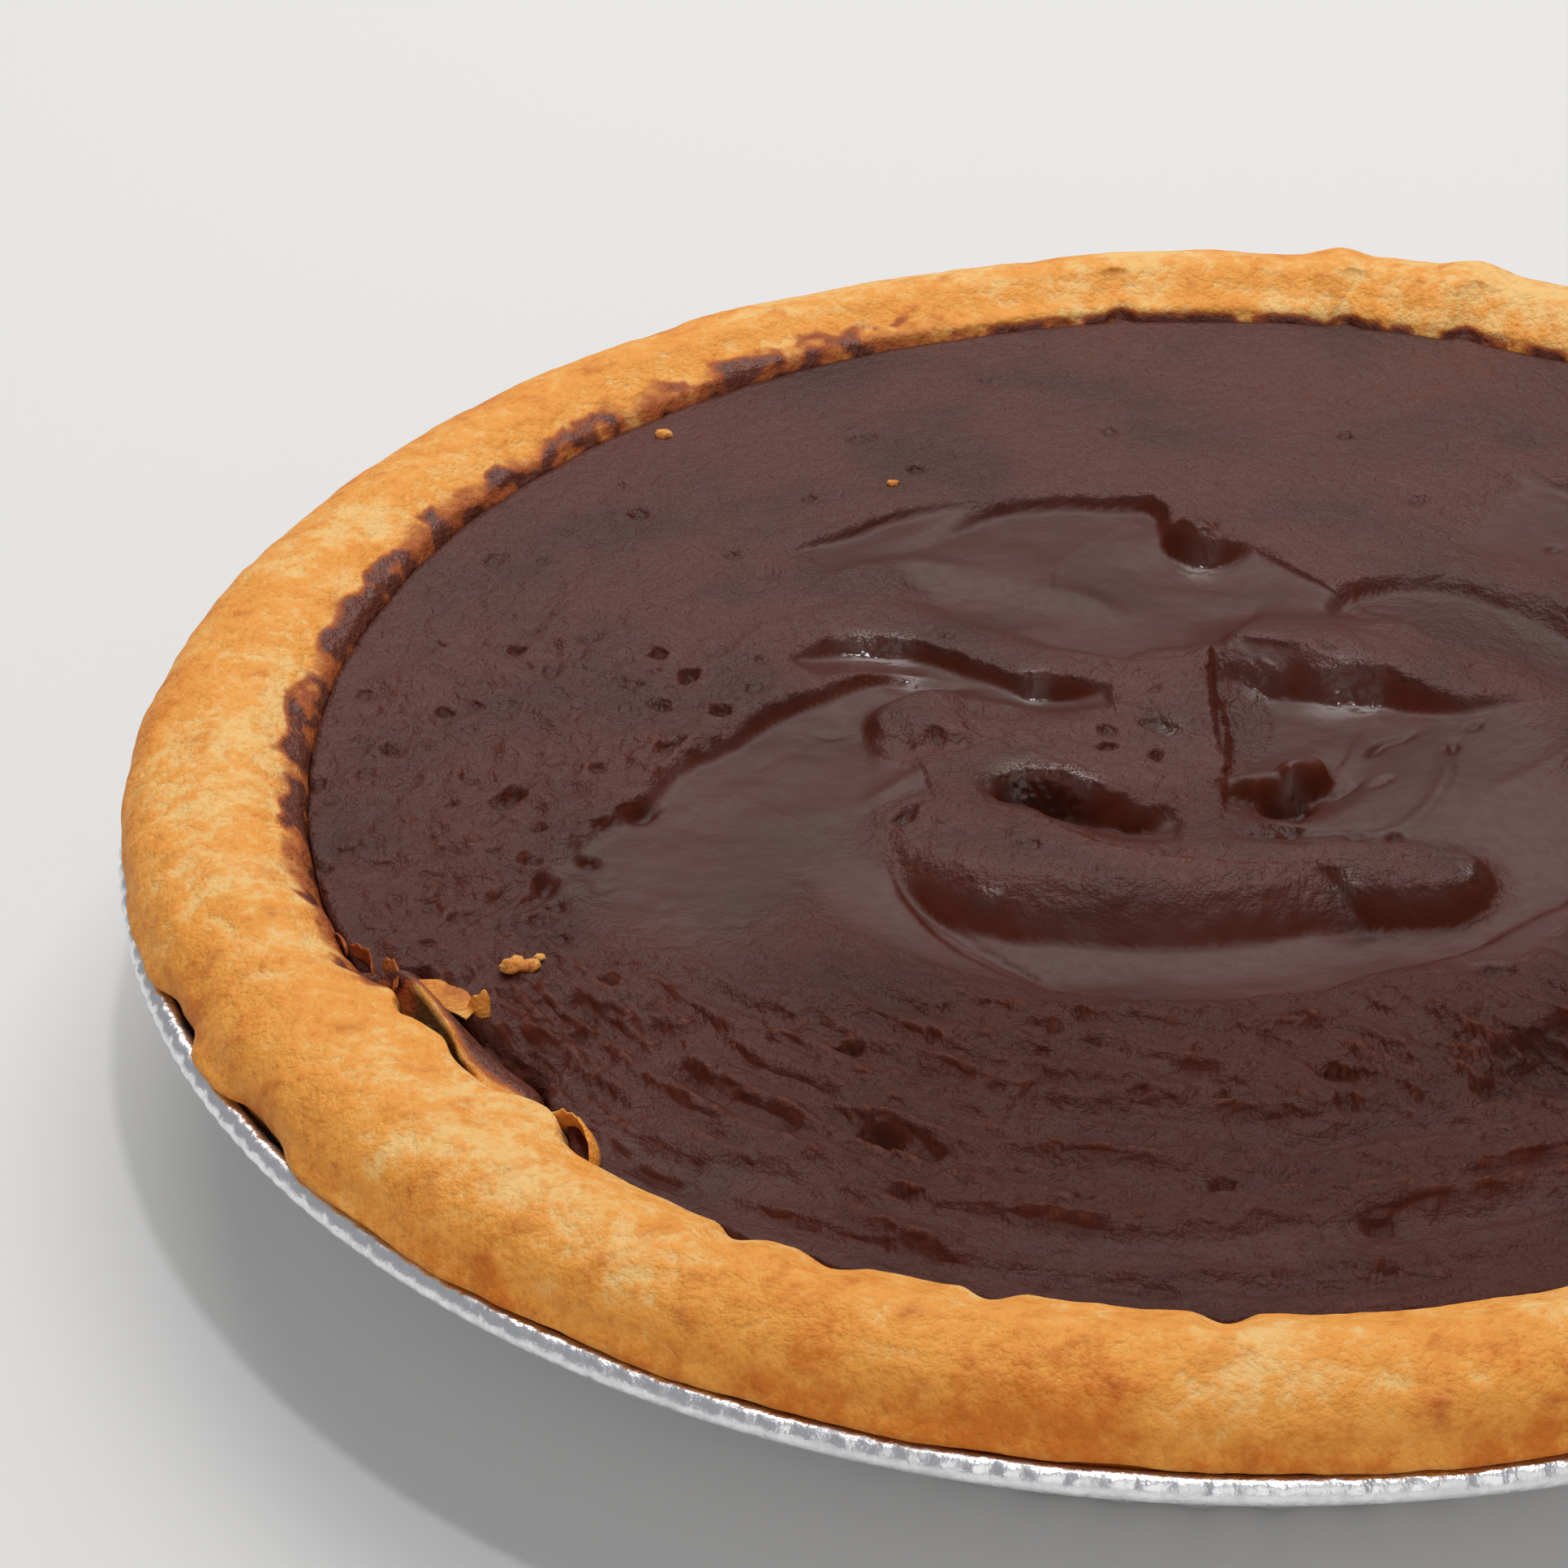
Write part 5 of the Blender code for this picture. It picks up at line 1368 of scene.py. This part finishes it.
@dataclass
class Filling:
    """The chocolate: it fills the pastry, and its top carries the knife's strokes, pits and grain.

    Attributes:
        rings: rings of points round the middle of the top.
        raster: spacing of the square raster on which the top is worked out, in millimetres.
        reach: half the side of that raster, in millimetres.
        pit_count: small holes scattered over the top, besides those that show one by one.
        seed: the start of their random draw.
        clearance: gap between the top's edge and the pastry.
        marks: height of the slanted marks at the front right, in millimetres.
        streaks: height of the streaks round the middle: everywhere, more in front and more at the left.
        lumps: height of the lumps: everywhere, more in front, more at the left and more on the shelf.
        swell: height of the wide swell.
        calmed: how much of the grain the knife took off where it smoothed the top.
        warp: how far noise moves the outlines of the pits, in millimetres.
    """

    rings: int = 174
    raster: float = 0.4
    reach: float = 100.0
    pit_count: int = 420
    seed: int = 5
    clearance: float = 0.08 * MM
    marks: float = 0.95
    streaks: tuple[float, float, float] = (0.14, 0.90, 0.36)
    lumps: tuple[float, float, float, float] = (0.16, 0.16, 0.36, 0.12)
    swell: float = 0.35
    calmed: float = 0.94
    warp: float = 0.55

    def disc(self) -> tuple[Array, Array]:
        """Points of a unit disc: a middle point, then rings of 6, 12, 18 and so on, a little closer
        together near the middle. A ring's radius is its share t of the rings, times 0.8 plus 0.2 t.

        Returns:
            The radius from 0 to 1 and the angle of each point.
        """
        number = np.repeat(np.arange(self.rings + 1), np.maximum(6 * np.arange(self.rings + 1), 1))
        share = number / self.rings
        place = np.arange(len(number)) - np.where(number > 0, 1 + 3 * number * (number - 1), 0)
        return share * (0.8 + 0.2 * share), place * 2 * math.pi / np.maximum(6 * number, 1)

    def triangles(self) -> Array:
        """Faces between neighbouring rings of the disc: each point and its next one join to the ring
        inside, and within each sixth the inner ring's stretches join back to the outer one.

        Returns:
            The triangles, facing up.
        """
        faces = []
        for ring in range(1, self.rings + 1):
            outer, inner = 1 + 3 * ring * (ring - 1), max(0, 1 + 3 * (ring - 1) * (ring - 2))
            step = np.arange(6 * ring)
            inside = step // ring * (ring - 1) + step % ring
            here, after = outer + step, outer + (step + 1) % (6 * ring)
            held = inner + inside % max(6 * (ring - 1), 1)
            faces.append(np.stack([here, after, held], -1))
            rest = step[step % ring > 0]
            faces.append(np.stack([here[rest], held[rest], inner + inside[rest] - 1], -1))
        return np.vstack(faces)

    def sampled(self, grid: Array, x: Array, y: Array) -> Array:
        """The value of the raster at any place, blended between its four nearest points.

        Args:
            grid: the raster's values.
            x: plan positions, in millimetres.
            y: plan positions, in millimetres.

        Returns:
            The value at each place.
        """
        u, v = (x + self.reach) / self.raster, (y + self.reach) / self.raster
        i, j = np.floor(u).astype(int), np.floor(v).astype(int)
        s, t = u - i, v - j
        return ((grid[i, j] * (1 - s) + grid[i + 1, j] * s) * (1 - t)
                + (grid[i, j + 1] * (1 - s) + grid[i + 1, j + 1] * s) * t)

    def edge(self, angle: Array, pastry: Pastry, uneven: Unevenness) -> Array:
        """Radius at which the top ends, just clear of the pastry."""
        return pastry.controls(angle, uneven)[-1, :, 0] - self.clearance

    def scattered(self, x: Array, y: Array) -> Array:
        """Small holes in a seeded scatter, denser in front and at the left, each a small bowl.

        Args:
            x: plan positions, in millimetres.
            y: plan positions, in millimetres.

        Returns:
            The height in millimetres.
        """
        draw = np.random.default_rng(self.seed)
        total = np.zeros(x.shape)
        for _ in range(self.pit_count):
            radius, turn = 95.0 * math.sqrt(draw.random()), draw.random() * 2 * math.pi
            px, py = radius * math.cos(turn), radius * math.sin(turn)
            size, depth, spin = draw.uniform(0.45, 1.1), draw.uniform(0.25, 0.75), draw.uniform(0, 180)
            keep = draw.random()
            busy = 0.25 + 0.55 * smooth((-30.0 - py) / 40.0) + 0.3 * smooth((-50.0 - px) / 20.0)
            near = (np.abs(x - px) < 2.2) & (np.abs(y - py) < 2.2)
            if keep < busy:
                total[near] += Pit(px, py, size * 1.3, size, spin, depth).form(x[near], y[near])
        return total

    def shelf(self, x: Array, y: Array) -> Array:
        """1 on the rough shelf and the tongue, 0 elsewhere."""
        middle = Path(((-30, 2), (-20, 1), (-8, 0), (-3, 6), (-4, 14))).to(x, y)[0]
        tongue = Path(((-31, -20), (-20, -25), (-4, -26), (12, -24.5), (24, -24))).to(x, y)[0]
        return np.maximum(smooth((9.5 - np.abs(middle)) / 2.5), smooth((9.5 - np.abs(tongue)) / 6.5))

    def grain(self, x: Array, y: Array, calm: Array, uneven: Unevenness) -> Array:
        """Height of the rough chocolate: streaks round the middle, slanted marks of the knife at the
        front right, lumps, and one wide swell.

        Args:
            x: plan positions, in millimetres.
            y: plan positions, in millimetres.
            calm: how smooth the knife left the top, from 0 to 1.
            uneven: the noise of the filling.

        Returns:
            The height in millimetres.
        """
        radius, turn = np.hypot(x, y), np.arctan2(y, x)
        swept, bend = np.hypot(x - 77, y - 7), np.arctan2(7 - y, 77 - x)
        streaks = uneven.layers(radius / 2.9, turn * 16 / math.pi, 2.0, 4, 0.55)
        marks = uneven.layers(swept / 2.3, bend * 80 / 18, 5.0, 3, 0.55)
        lumps = uneven.layers(x / 2.6, y / 2.6, 8.0, 3, 0.55)
        front = smooth((-38.0 - y) / 16.0)
        left = smooth((-46.0 - x) / 18.0) * smooth((50.0 - y) / 60.0)
        slanted = front * smooth((x + 6.0) / 26.0) * smooth((y + 74.0) / 14.0)
        even, ahead, aside = self.streaks
        height = self.marks * slanted * marks
        height += (even + ahead * front * (1.0 - 0.7 * slanted) + aside * left) * streaks
        even, ahead, aside, shelf = self.lumps
        height += (even + ahead * front + aside * left + shelf * self.shelf(x, y)) * lumps
        return (1.0 - self.calmed * calm) * height + self.swell * uneven.at(x / 24, y / 24, 11.0)

    def top(self, x: Array, y: Array, uneven: Unevenness) -> tuple[Array, Array, Array]:
        """Height of the top over its level, how smooth it is and how pitted. The height is the sum of the
        strokes, creases, grain and pits.

        Args:
            x: plan positions, in millimetres.
            y: plan positions, in millimetres.
            uneven: the noise of the filling.

        Returns:
            The height in millimetres, and the smoothness and the pitting from 0 to 1.
        """
        wander = uneven.layers(x / 5.5, y / 5.5, 0.4, 2)
        height, calm = np.zeros(x.shape), np.zeros(x.shape)
        for step in STEPS:
            rise, smoothness = step.form(x, y, wander)
            height += rise
            calm = np.maximum(calm, smoothness)
        steep = smooth((np.hypot(*np.gradient(height, self.raster)) - 0.45) / 0.5)
        height += steep * 0.16 * uneven.layers(x / 2.8, y / 2.2, 3.3, 2, 0.5)
        height += sum(crease.form(x, y) for crease in CREASES)
        calm *= 1.0 - self.shelf(x, y)
        height += self.grain(x, y, calm, uneven)
        moved = [line + self.warp * uneven.layers(x / 2.2, y / 2.2, layer, 2)
                 for line, layer in ((x, 1.7), (y, 5.7))]
        pits = sum(pit.form(*moved) for pit in PITS) + (1.0 - self.calmed * calm) * self.scattered(*moved)
        return height + pits, calm, smooth((-0.15 - pits) / 0.6)

    def tones(self, x: Array, y: Array, calm: Array, pitted: Array, bend: Array,
              slope: Array) -> dict[str, Array]:
        """What the finish reads at each point of the top.

        Args:
            x: plan positions, in millimetres.
            y: plan positions, in millimetres.
            calm: how smooth the knife left it.
            pitted: how deep it lies in a pit.
            bend: how sharply it bends.
            slope: how steep it is.

        Returns:
            The attributes, from 0 to 1: calm, lip on the crests (painted light), dip_shade in the dips
                (painted shade), wet,
            steep on the walls and front_shade, painted shade towards the front.
        """
        # painted shade towards the front: a share of darkening that grows from the back to the front,
        # weaker at the left, on the smooth places and on the shelf
        front_shade = smooth((30.0 - y) / 90.0) * (1.0 - 0.45 * smooth((-25.0 - x) / 30.0))
        return {"calm": calm,
                # painted light on the crests
                "lip": smooth((bend - 0.25) / 0.9) * (1 - 0.4 * calm),
                # painted shade in the dips and pits
                "dip_shade": np.maximum(smooth((-bend - 0.35) / 1.2), pitted),
                "wet": sum(np.exp(-((x - px) ** 2 + (y - py) ** 2) / size**2) for px, py, size in WET),
                "steep": smooth((slope - 0.32) / 0.95),
                "front_shade": front_shade * (1.0 - calm) * (1.0 - 0.8 * self.shelf(x, y))}

    def build(self, pastry: Pastry, uneven: Unevenness) -> bpy.types.Object:
        """Makes the filling's mesh: the disc with its top, a wall just inside the pastry and a flat base.
        The relief, its bending and its slope are worked out on the raster and sampled at the disc's points.

        Args:
            pastry: the pastry that holds it.
            uneven: the noise of the filling.

        Returns:
            The piece, with the attributes calm, lip, dip_shade, steep, front_shade and wet.
        """
        share, angle = self.disc()
        edge = self.edge(angle, pastry, uneven)
        radius = share * edge
        x, y = radius * np.cos(angle), radius * np.sin(angle)
        lines = np.arange(-self.reach, self.reach + self.raster / 2, self.raster)
        across, along = np.meshgrid(lines, lines, indexing="ij")
        relief, calmed, pitted = self.top(across, along, uneven)
        bend, slope = self.bending(relief), np.hypot(*np.gradient(relief, self.raster))
        height, calm, pitted, bend, slope = (self.sampled(grid, x / MM, y / MM)
                                             for grid in (relief, calmed, pitted, bend, slope))
        held = smooth((FILL_RADIUS - radius) / (5 * MM))
        height = held * height + (1 - held) * 0.35 * np.clip(height, -1, 1)
        degrees = np.degrees(angle)
        crack = within(degrees, 215.5, 1.5, 226.0, 1.5)
        height -= 2.0 * crack * smooth(1.0 + (radius - edge) / (1.1 * MM))
        top = np.stack([x, y, RIM_LEVEL + FILL_LEVEL + height * MM], -1)
        values = self.tones(x / MM, y / MM, calm, pitted, bend, slope)
        around = 6 * self.rings
        rim = np.arange(len(top) - around, len(top))
        spin, side = angle[rim], radius[rim]
        walls = [(side, RIM_LEVEL + FILL_LEVEL - 2.4 * MM), (side - 1.1 * MM, RIM_LEVEL - 4 * MM),
                 (BASE_RADIUS - 2.4 * MM, PASTRY_FLOOR + 2.2 * MM),
                 (BASE_RADIUS - 6.4 * MM, PASTRY_FLOOR + 0.3 * MM)]
        wall = np.vstack([np.stack([r * np.cos(spin), r * np.sin(spin), np.full(around, h)], -1)
                          for r, h in walls])
        rows = [rim] + [len(top) + k * around + np.arange(around) for k in range(len(walls))]
        faces = [self.triangles()]
        for upper, lower in zip(rows, rows[1:]):
            a, b, c, d = upper, np.roll(upper, -1), np.roll(lower, -1), lower
            faces += [np.stack([a, d, c], -1), np.stack([a, c, b], -1)]
        middle = len(top) + len(wall)
        faces.append(np.stack([np.roll(rows[-1], -1), rows[-1], np.full(around, middle)], -1))
        points = np.vstack([top, wall, [[0.0, 0.0, PASTRY_FLOOR + 0.3 * MM]]])
        values = {key: np.concatenate([value, np.zeros(len(wall) + 1)]) for key, value in values.items()}
        return make_object("filling_fine", points, np.vstack(faces), values)

    def bending(self, height: Array) -> Array:
        """How sharply the top bends on the raster: the falls to the points two steps away on either side,
        over their distance, averaged over the two directions.

        Args:
            height: the relief on the raster, in millimetres.

        Returns:
            The bending, positive on a crest.
        """
        wide = np.pad(height, 2, mode="edge")
        total = sum(height - np.roll(wide, shift, (0, 1))[2:-2, 2:-2]
                    for shift in ((2, 0), (-2, 0), (0, 2), (0, -2)))
        return total / (4 * self.raster)


@dataclass(frozen=True)
class Flake:
    """A thin torn flake of pastry that stands on a line.

    Attributes:
        path: rows of x, y, height of its foot, height of its top, and how far the top leans to the line's
            left, all in millimetres.
        thick: its thickness in millimetres.
        smear: how much chocolate is on it.
    """

    path: Path
    thick: float = 0.4
    smear: float = 0.0

    def mesh(self, uneven: Unevenness, layer: float, up: int = 7) -> tuple[Array, Array]:
        """Makes the flake: a sheet from its foot to its top, offset to both sides, closed round its edges
        and at its ends, with a ragged top.

        Args:
            uneven: the noise that makes it ragged.
            layer: where in the noise it lies.
            up: points from its foot to its top.

        Returns:
            Its points in metres and its triangles.
        """
        curve = spline(self.path.rows, 6)
        x, y, foot, top, lean = curve.T
        along = np.gradient(curve[:, :2], axis=0)
        along /= np.linalg.norm(along, axis=1, keepdims=True)
        side = np.stack([-along[:, 1], along[:, 0]], -1)
        run = np.linspace(0.0, 1.0, up)
        ragged = 1.0 + 0.25 * uneven.layers(x / 1.3, y / 1.3, layer, 2)
        shift = lean[:, None] * run**2 + 0.25 * uneven.at(x[:, None] / 1.5, run * 2.0, layer + 3.0)
        high = foot[:, None] + (top - foot)[:, None] * ragged[:, None] * run
        ends = np.sin(np.linspace(0.06, 0.94, len(curve)) * math.pi)[:, None] ** 0.35
        half = 0.5 * self.thick * ends * (1.0 - 0.6 * run)
        sheets = [np.stack([x[:, None] + side[:, :1] * off, y[:, None] + side[:, 1:] * off, high], -1)
                  for off in (shift + half, shift - half)]
        loop = np.concatenate([sheets[0], sheets[1][:, ::-1]], axis=1)
        points = np.vstack([loop.reshape(-1, 3), loop[0].mean(axis=0), loop[-1].mean(axis=0)])
        return points * MM + np.array([0.0, 0.0, RIM_LEVEL]), tube_triangles(len(curve), 2 * up)


SCRAP_BAKED = 0.5

FLAKES = (
    # the curl at the end of the tear
    Flake(Path(((-66.4, -73.0, 4.4, 6.2, -0.3), (-64.2, -72.6, 4.2, 6.6, -0.6),
        (-62.4, -72.8, 4.0, 6.8, -0.9), (-60.8, -74.0, 3.9, 6.9, -1.1), (-59.8, -76.0, 3.9, 6.9, -1.1),
        (-59.3, -78.6, 4.0, 6.6, -0.8), (-59.5, -81.0, 4.2, 6.0, -0.3))), 0.55),
    # the upright sliver and the flat golden piece beside it
    Flake(Path(((-75.4, -54.0, 4.0, 5.2, 0.1), (-74.6, -54.3, 4.0, 7.0, 0.3),
        (-73.8, -54.6, 4.0, 7.8, 0.5), (-73.0, -54.8, 4.2, 6.4, 0.3))), 0.6),
    Flake(Path(((-81.4, -50.8, 5.2, 5.7, 0.6), (-80.0, -51.9, 5.2, 5.8, 1.9),
        (-78.0, -53.6, 5.1, 5.7, 2.6), (-76.2, -54.8, 4.9, 5.5, 2.2), (-75.2, -55.4, 4.7, 5.0, 0.8))),
        0.6, 0.14),
    # small ones at the start of the tear
    Flake(Path(((-88.8, -44.0, 4.2, 5.6, -0.2), (-87.4, -45.2, 4.2, 6.4, -0.3),
        (-86.2, -46.8, 4.2, 6.5, -0.3), (-85.8, -49.0, 4.2, 5.6, -0.2))), 0.5, 0.45),
    Flake(Path(((-85.2, -46.4, 4.0, 5.4, 0.2), (-84.3, -47.6, 4.0, 6.2, 0.3),
        (-83.6, -49.2, 4.0, 6.0, 0.3), (-83.4, -50.8, 4.2, 5.2, 0.2))), 0.5, 0.3),
    Flake(Path(((-90.8, -41.4, 4.4, 5.4, -0.2), (-89.8, -42.8, 4.4, 6.0, -0.3),
        (-89.2, -44.6, 4.4, 5.4, -0.2))), 0.5, 0.5),
)


def build_flakes(uneven: Unevenness) -> bpy.types.Object:
    """Makes one piece of all the thin flakes, each a closed body.

    Args:
        uneven: the noise that makes them ragged.

    Returns:
        The piece, with the attributes baked, smear and shade.
    """
    points, faces, smear, start = [], [], [], 0
    for number, flake in enumerate(FLAKES):
        spots, tris = flake.mesh(uneven, 2.7 * number)
        points.append(spots)
        faces.append(tris + start)
        smear.append(np.full(len(spots), flake.smear))
        start += len(spots)
    blank = np.zeros(start)
    return make_object("pastry_flakes", np.vstack(points), np.vstack(faces),
                       {"baked": blank + SCRAP_BAKED, "smear": np.concatenate(smear), "shade": blank})


@dataclass
class Crumbs:
    """Crumbs of pastry on the filling.

    Attributes:
        places: plan position and half length of each, in millimetres.
        flatness: its width and height for each millimetre of length.
        smear: how much chocolate is on them.
        around: points in each ring of a crumb.
        rings: rings of a crumb.
    """

    places: tuple[tuple[float, float, float], ...] = (
        (-71.6, -46.2, 1.5), (-70.0, -45.8, 1.1), (-69.2, -44.6, 0.6), (-68.0, 67.0, 1.1),
        (-39.5, 56.0, 0.7))
    flatness: tuple[float, float] = (0.75, 0.5)
    smear: float = 0.16
    around: int = 20
    rings: int = 10

    def build(self, top: bpy.types.Object, uneven: Unevenness) -> bpy.types.Object:
        """Makes the crumbs: small spheres of rings, pushed in and out by noise, a little sunk in the
        filling.

        Args:
            top: the filling, whose height carries them.
            uneven: the noise that shapes them.

        Returns:
            One piece of separate closed lumps.
        """
        flat = np.empty(len(top.data.vertices) * 3, np.float32)
        top.data.vertices.foreach_get("co", flat)
        ground = flat.reshape(-1, 3)[:1 + 3 * Filling.rings * (Filling.rings + 1)]
        turn = turns(self.around)
        rise = (np.arange(self.rings) + 0.5) / self.rings * math.pi - math.pi / 2
        c, s = np.cos(rise)[:, None], np.sin(rise)[:, None] * np.ones(self.around)
        ball = np.stack([c * np.cos(turn), c * np.sin(turn), s], -1).reshape(-1, 3)
        ball = np.vstack([ball, [[0, 0, -1.0], [0, 0, 1.0]]])
        triangles = tube_triangles(self.rings, self.around)
        points, faces = [], []
        for number, (px, py, size) in enumerate(self.places):
            lump = 1.0 + 0.35 * uneven.layers(*(ball * 1.7 + 5.1 * number).T, 3)
            shape = ball * lump[:, None] * np.array([1.0, *self.flatness]) * size * MM
            near = np.argmin(np.hypot(ground[:, 0] - px * MM, ground[:, 1] - py * MM))
            points.append(shape + np.array([px * MM, py * MM, ground[near, 2] + 0.2 * size * MM]))
            faces.append(triangles + number * len(ball))
        points, faces = np.vstack(points), np.vstack(faces)
        blank = np.zeros(len(points))
        return make_object("crumbs", points, faces,
                           {"baked": blank + SCRAP_BAKED, "smear": blank + self.smear, "shade": blank})


@dataclass
class Studio:
    """The floor, the lights and the camera, which stands where the photograph was taken from.

    Attributes:
        away: distance from the camera to the middle of the foil rim's plane, in metres.
        above: angle of that line over the plane, in degrees.
        yaw: turn of the view to the left of the middle, in degrees.
        pitch: tilt of the view below level.
        roll: lean of the view.
        lens: focal length, in millimetres.
        sensor: width of the sensor, in millimetres.
        surround: colour of the light from all round.
        surround_strength: its strength.
        pale: colour of the floor.
    """

    away: float = 0.579
    above: float = 32.69
    yaw: float = -5.61
    pitch: float = 32.71
    roll: float = -1.47
    lens: float = 121.1
    sensor: float = 36.0
    surround: Colour = (0.93, 0.95, 1.0)
    surround_strength: float = 0.30
    pale: Colour = (0.78, 0.77, 0.75)

    def camera(self) -> None:
        """Makes the camera from its place and its three turns."""
        above, yaw, pitch, roll = (math.radians(a) for a in (self.above, self.yaw, self.pitch, self.roll))
        place = Vector((0.0, -self.away * math.cos(above), RIM_LEVEL + self.away * math.sin(above)))
        level = math.cos(pitch)
        ahead = Vector((math.sin(yaw) * level, math.cos(yaw) * level, -math.sin(pitch)))
        right = Vector((math.cos(yaw), -math.sin(yaw), 0.0))
        up = right.cross(ahead)
        leaning_right = right * math.cos(roll) + up * math.sin(roll)
        leaning_up = up * math.cos(roll) - right * math.sin(roll)
        turn = Matrix((leaning_right, leaning_up, -ahead)).transposed().to_4x4()
        data = bpy.data.cameras.new("camera")
        data.lens, data.sensor_width, data.clip_start = self.lens, self.sensor, 0.01
        camera = bpy.data.objects.new("camera", data)
        camera.matrix_world = Matrix.Translation(place) @ turn
        bpy.context.scene.collection.objects.link(camera)
        bpy.context.scene.camera = camera

    def light(self, name: str, place: tuple[float, float, float], size: float, power: float,
              colour: Colour) -> None:
        """Hangs a square soft light that faces the pie.

        Args:
            name: its name.
            place: where it hangs, in metres.
            size: its side, in metres.
            power: its power in watts.
            colour: its colour.
        """
        data = bpy.data.lights.new(name, "AREA")
        data.shape, data.size, data.energy, data.color = "SQUARE", size, power, colour
        lamp = bpy.data.objects.new(name, data)
        lamp.location = place
        lamp.rotation_euler = (Vector((0, 0, 0.03)) - Vector(place)).to_track_quat("-Z", "Y").to_euler()
        bpy.context.scene.collection.objects.link(lamp)

    def lights(self) -> None:
        """A wide soft light overhead and a little behind, a weak one in front, a small bright one for the
        glints, and a pale surround."""
        self.light("sky", (-0.04, 0.58, 0.95), 1.0, 8.6, (1.0, 0.99, 0.97))
        self.light("front", (0.25, -1.30, 0.75), 1.4, 3.7, (1.0, 0.98, 0.95))
        self.light("glint", (0.12, -0.25, 1.60), 0.08, 4.4, (0.96, 0.96, 1.0))
        world = bpy.data.worlds.new("surround")
        world.use_nodes = True
        background = world.node_tree.nodes["Background"]
        background.inputs["Color"].default_value = (*self.surround, 1.0)
        background.inputs["Strength"].default_value = self.surround_strength
        bpy.context.scene.world = world
        bpy.context.scene.view_settings.view_transform = "Standard"

    def floor(self) -> None:
        """A pale floor that curves up far behind."""
        bend = np.linspace(0.1, math.pi / 2, 12)
        run = np.concatenate([np.linspace(-3.0, 3.0, 7), 3.0 + 1.2 * np.sin(bend), [4.2]])
        rise = np.concatenate([np.zeros(7), 1.2 - 1.2 * np.cos(bend), [2.6]])
        points = np.array([(x, y, z) for x in (-4.0, 4.0) for y, z in zip(run, rise)])
        step = np.arange(len(run) - 1)
        faces = np.stack([step, step + len(run), step + len(run) + 1, step + 1], -1)
        floor = make_object("floor", points, faces)
        material, _, shader = blank_material("pale_floor")
        shader.inputs["Base Color"].default_value = (*self.pale, 1.0)
        shader.inputs["Roughness"].default_value = 0.6
        floor.data.materials.append(material)

    def build(self) -> None:
        """Sets the whole stage."""
        self.camera()
        self.lights()
        self.floor()


def main() -> None:
    """Builds every piece in order and dresses it."""
    logging.basicConfig(level=logging.INFO, format="%(name)s %(message)s")
    grain = grain_group()
    chocolate = ChocolateFinish().material(grain)
    dough = PastryFinish().material(grain)
    foil = FoilFinish().material(grain)
    uneven = Unevenness(11)
    pastry = Pastry()
    put(FoilTin().build(uneven), foil, "foil_tin")
    put(pastry.build(uneven), dough, "crust")
    filling = Filling().build(pastry, uneven)
    put(filling, chocolate, "filling")
    put(build_flakes(uneven), dough)
    put(Crumbs().build(filling, uneven), dough)
    Studio().build()


if __name__ == "__main__":
    main()
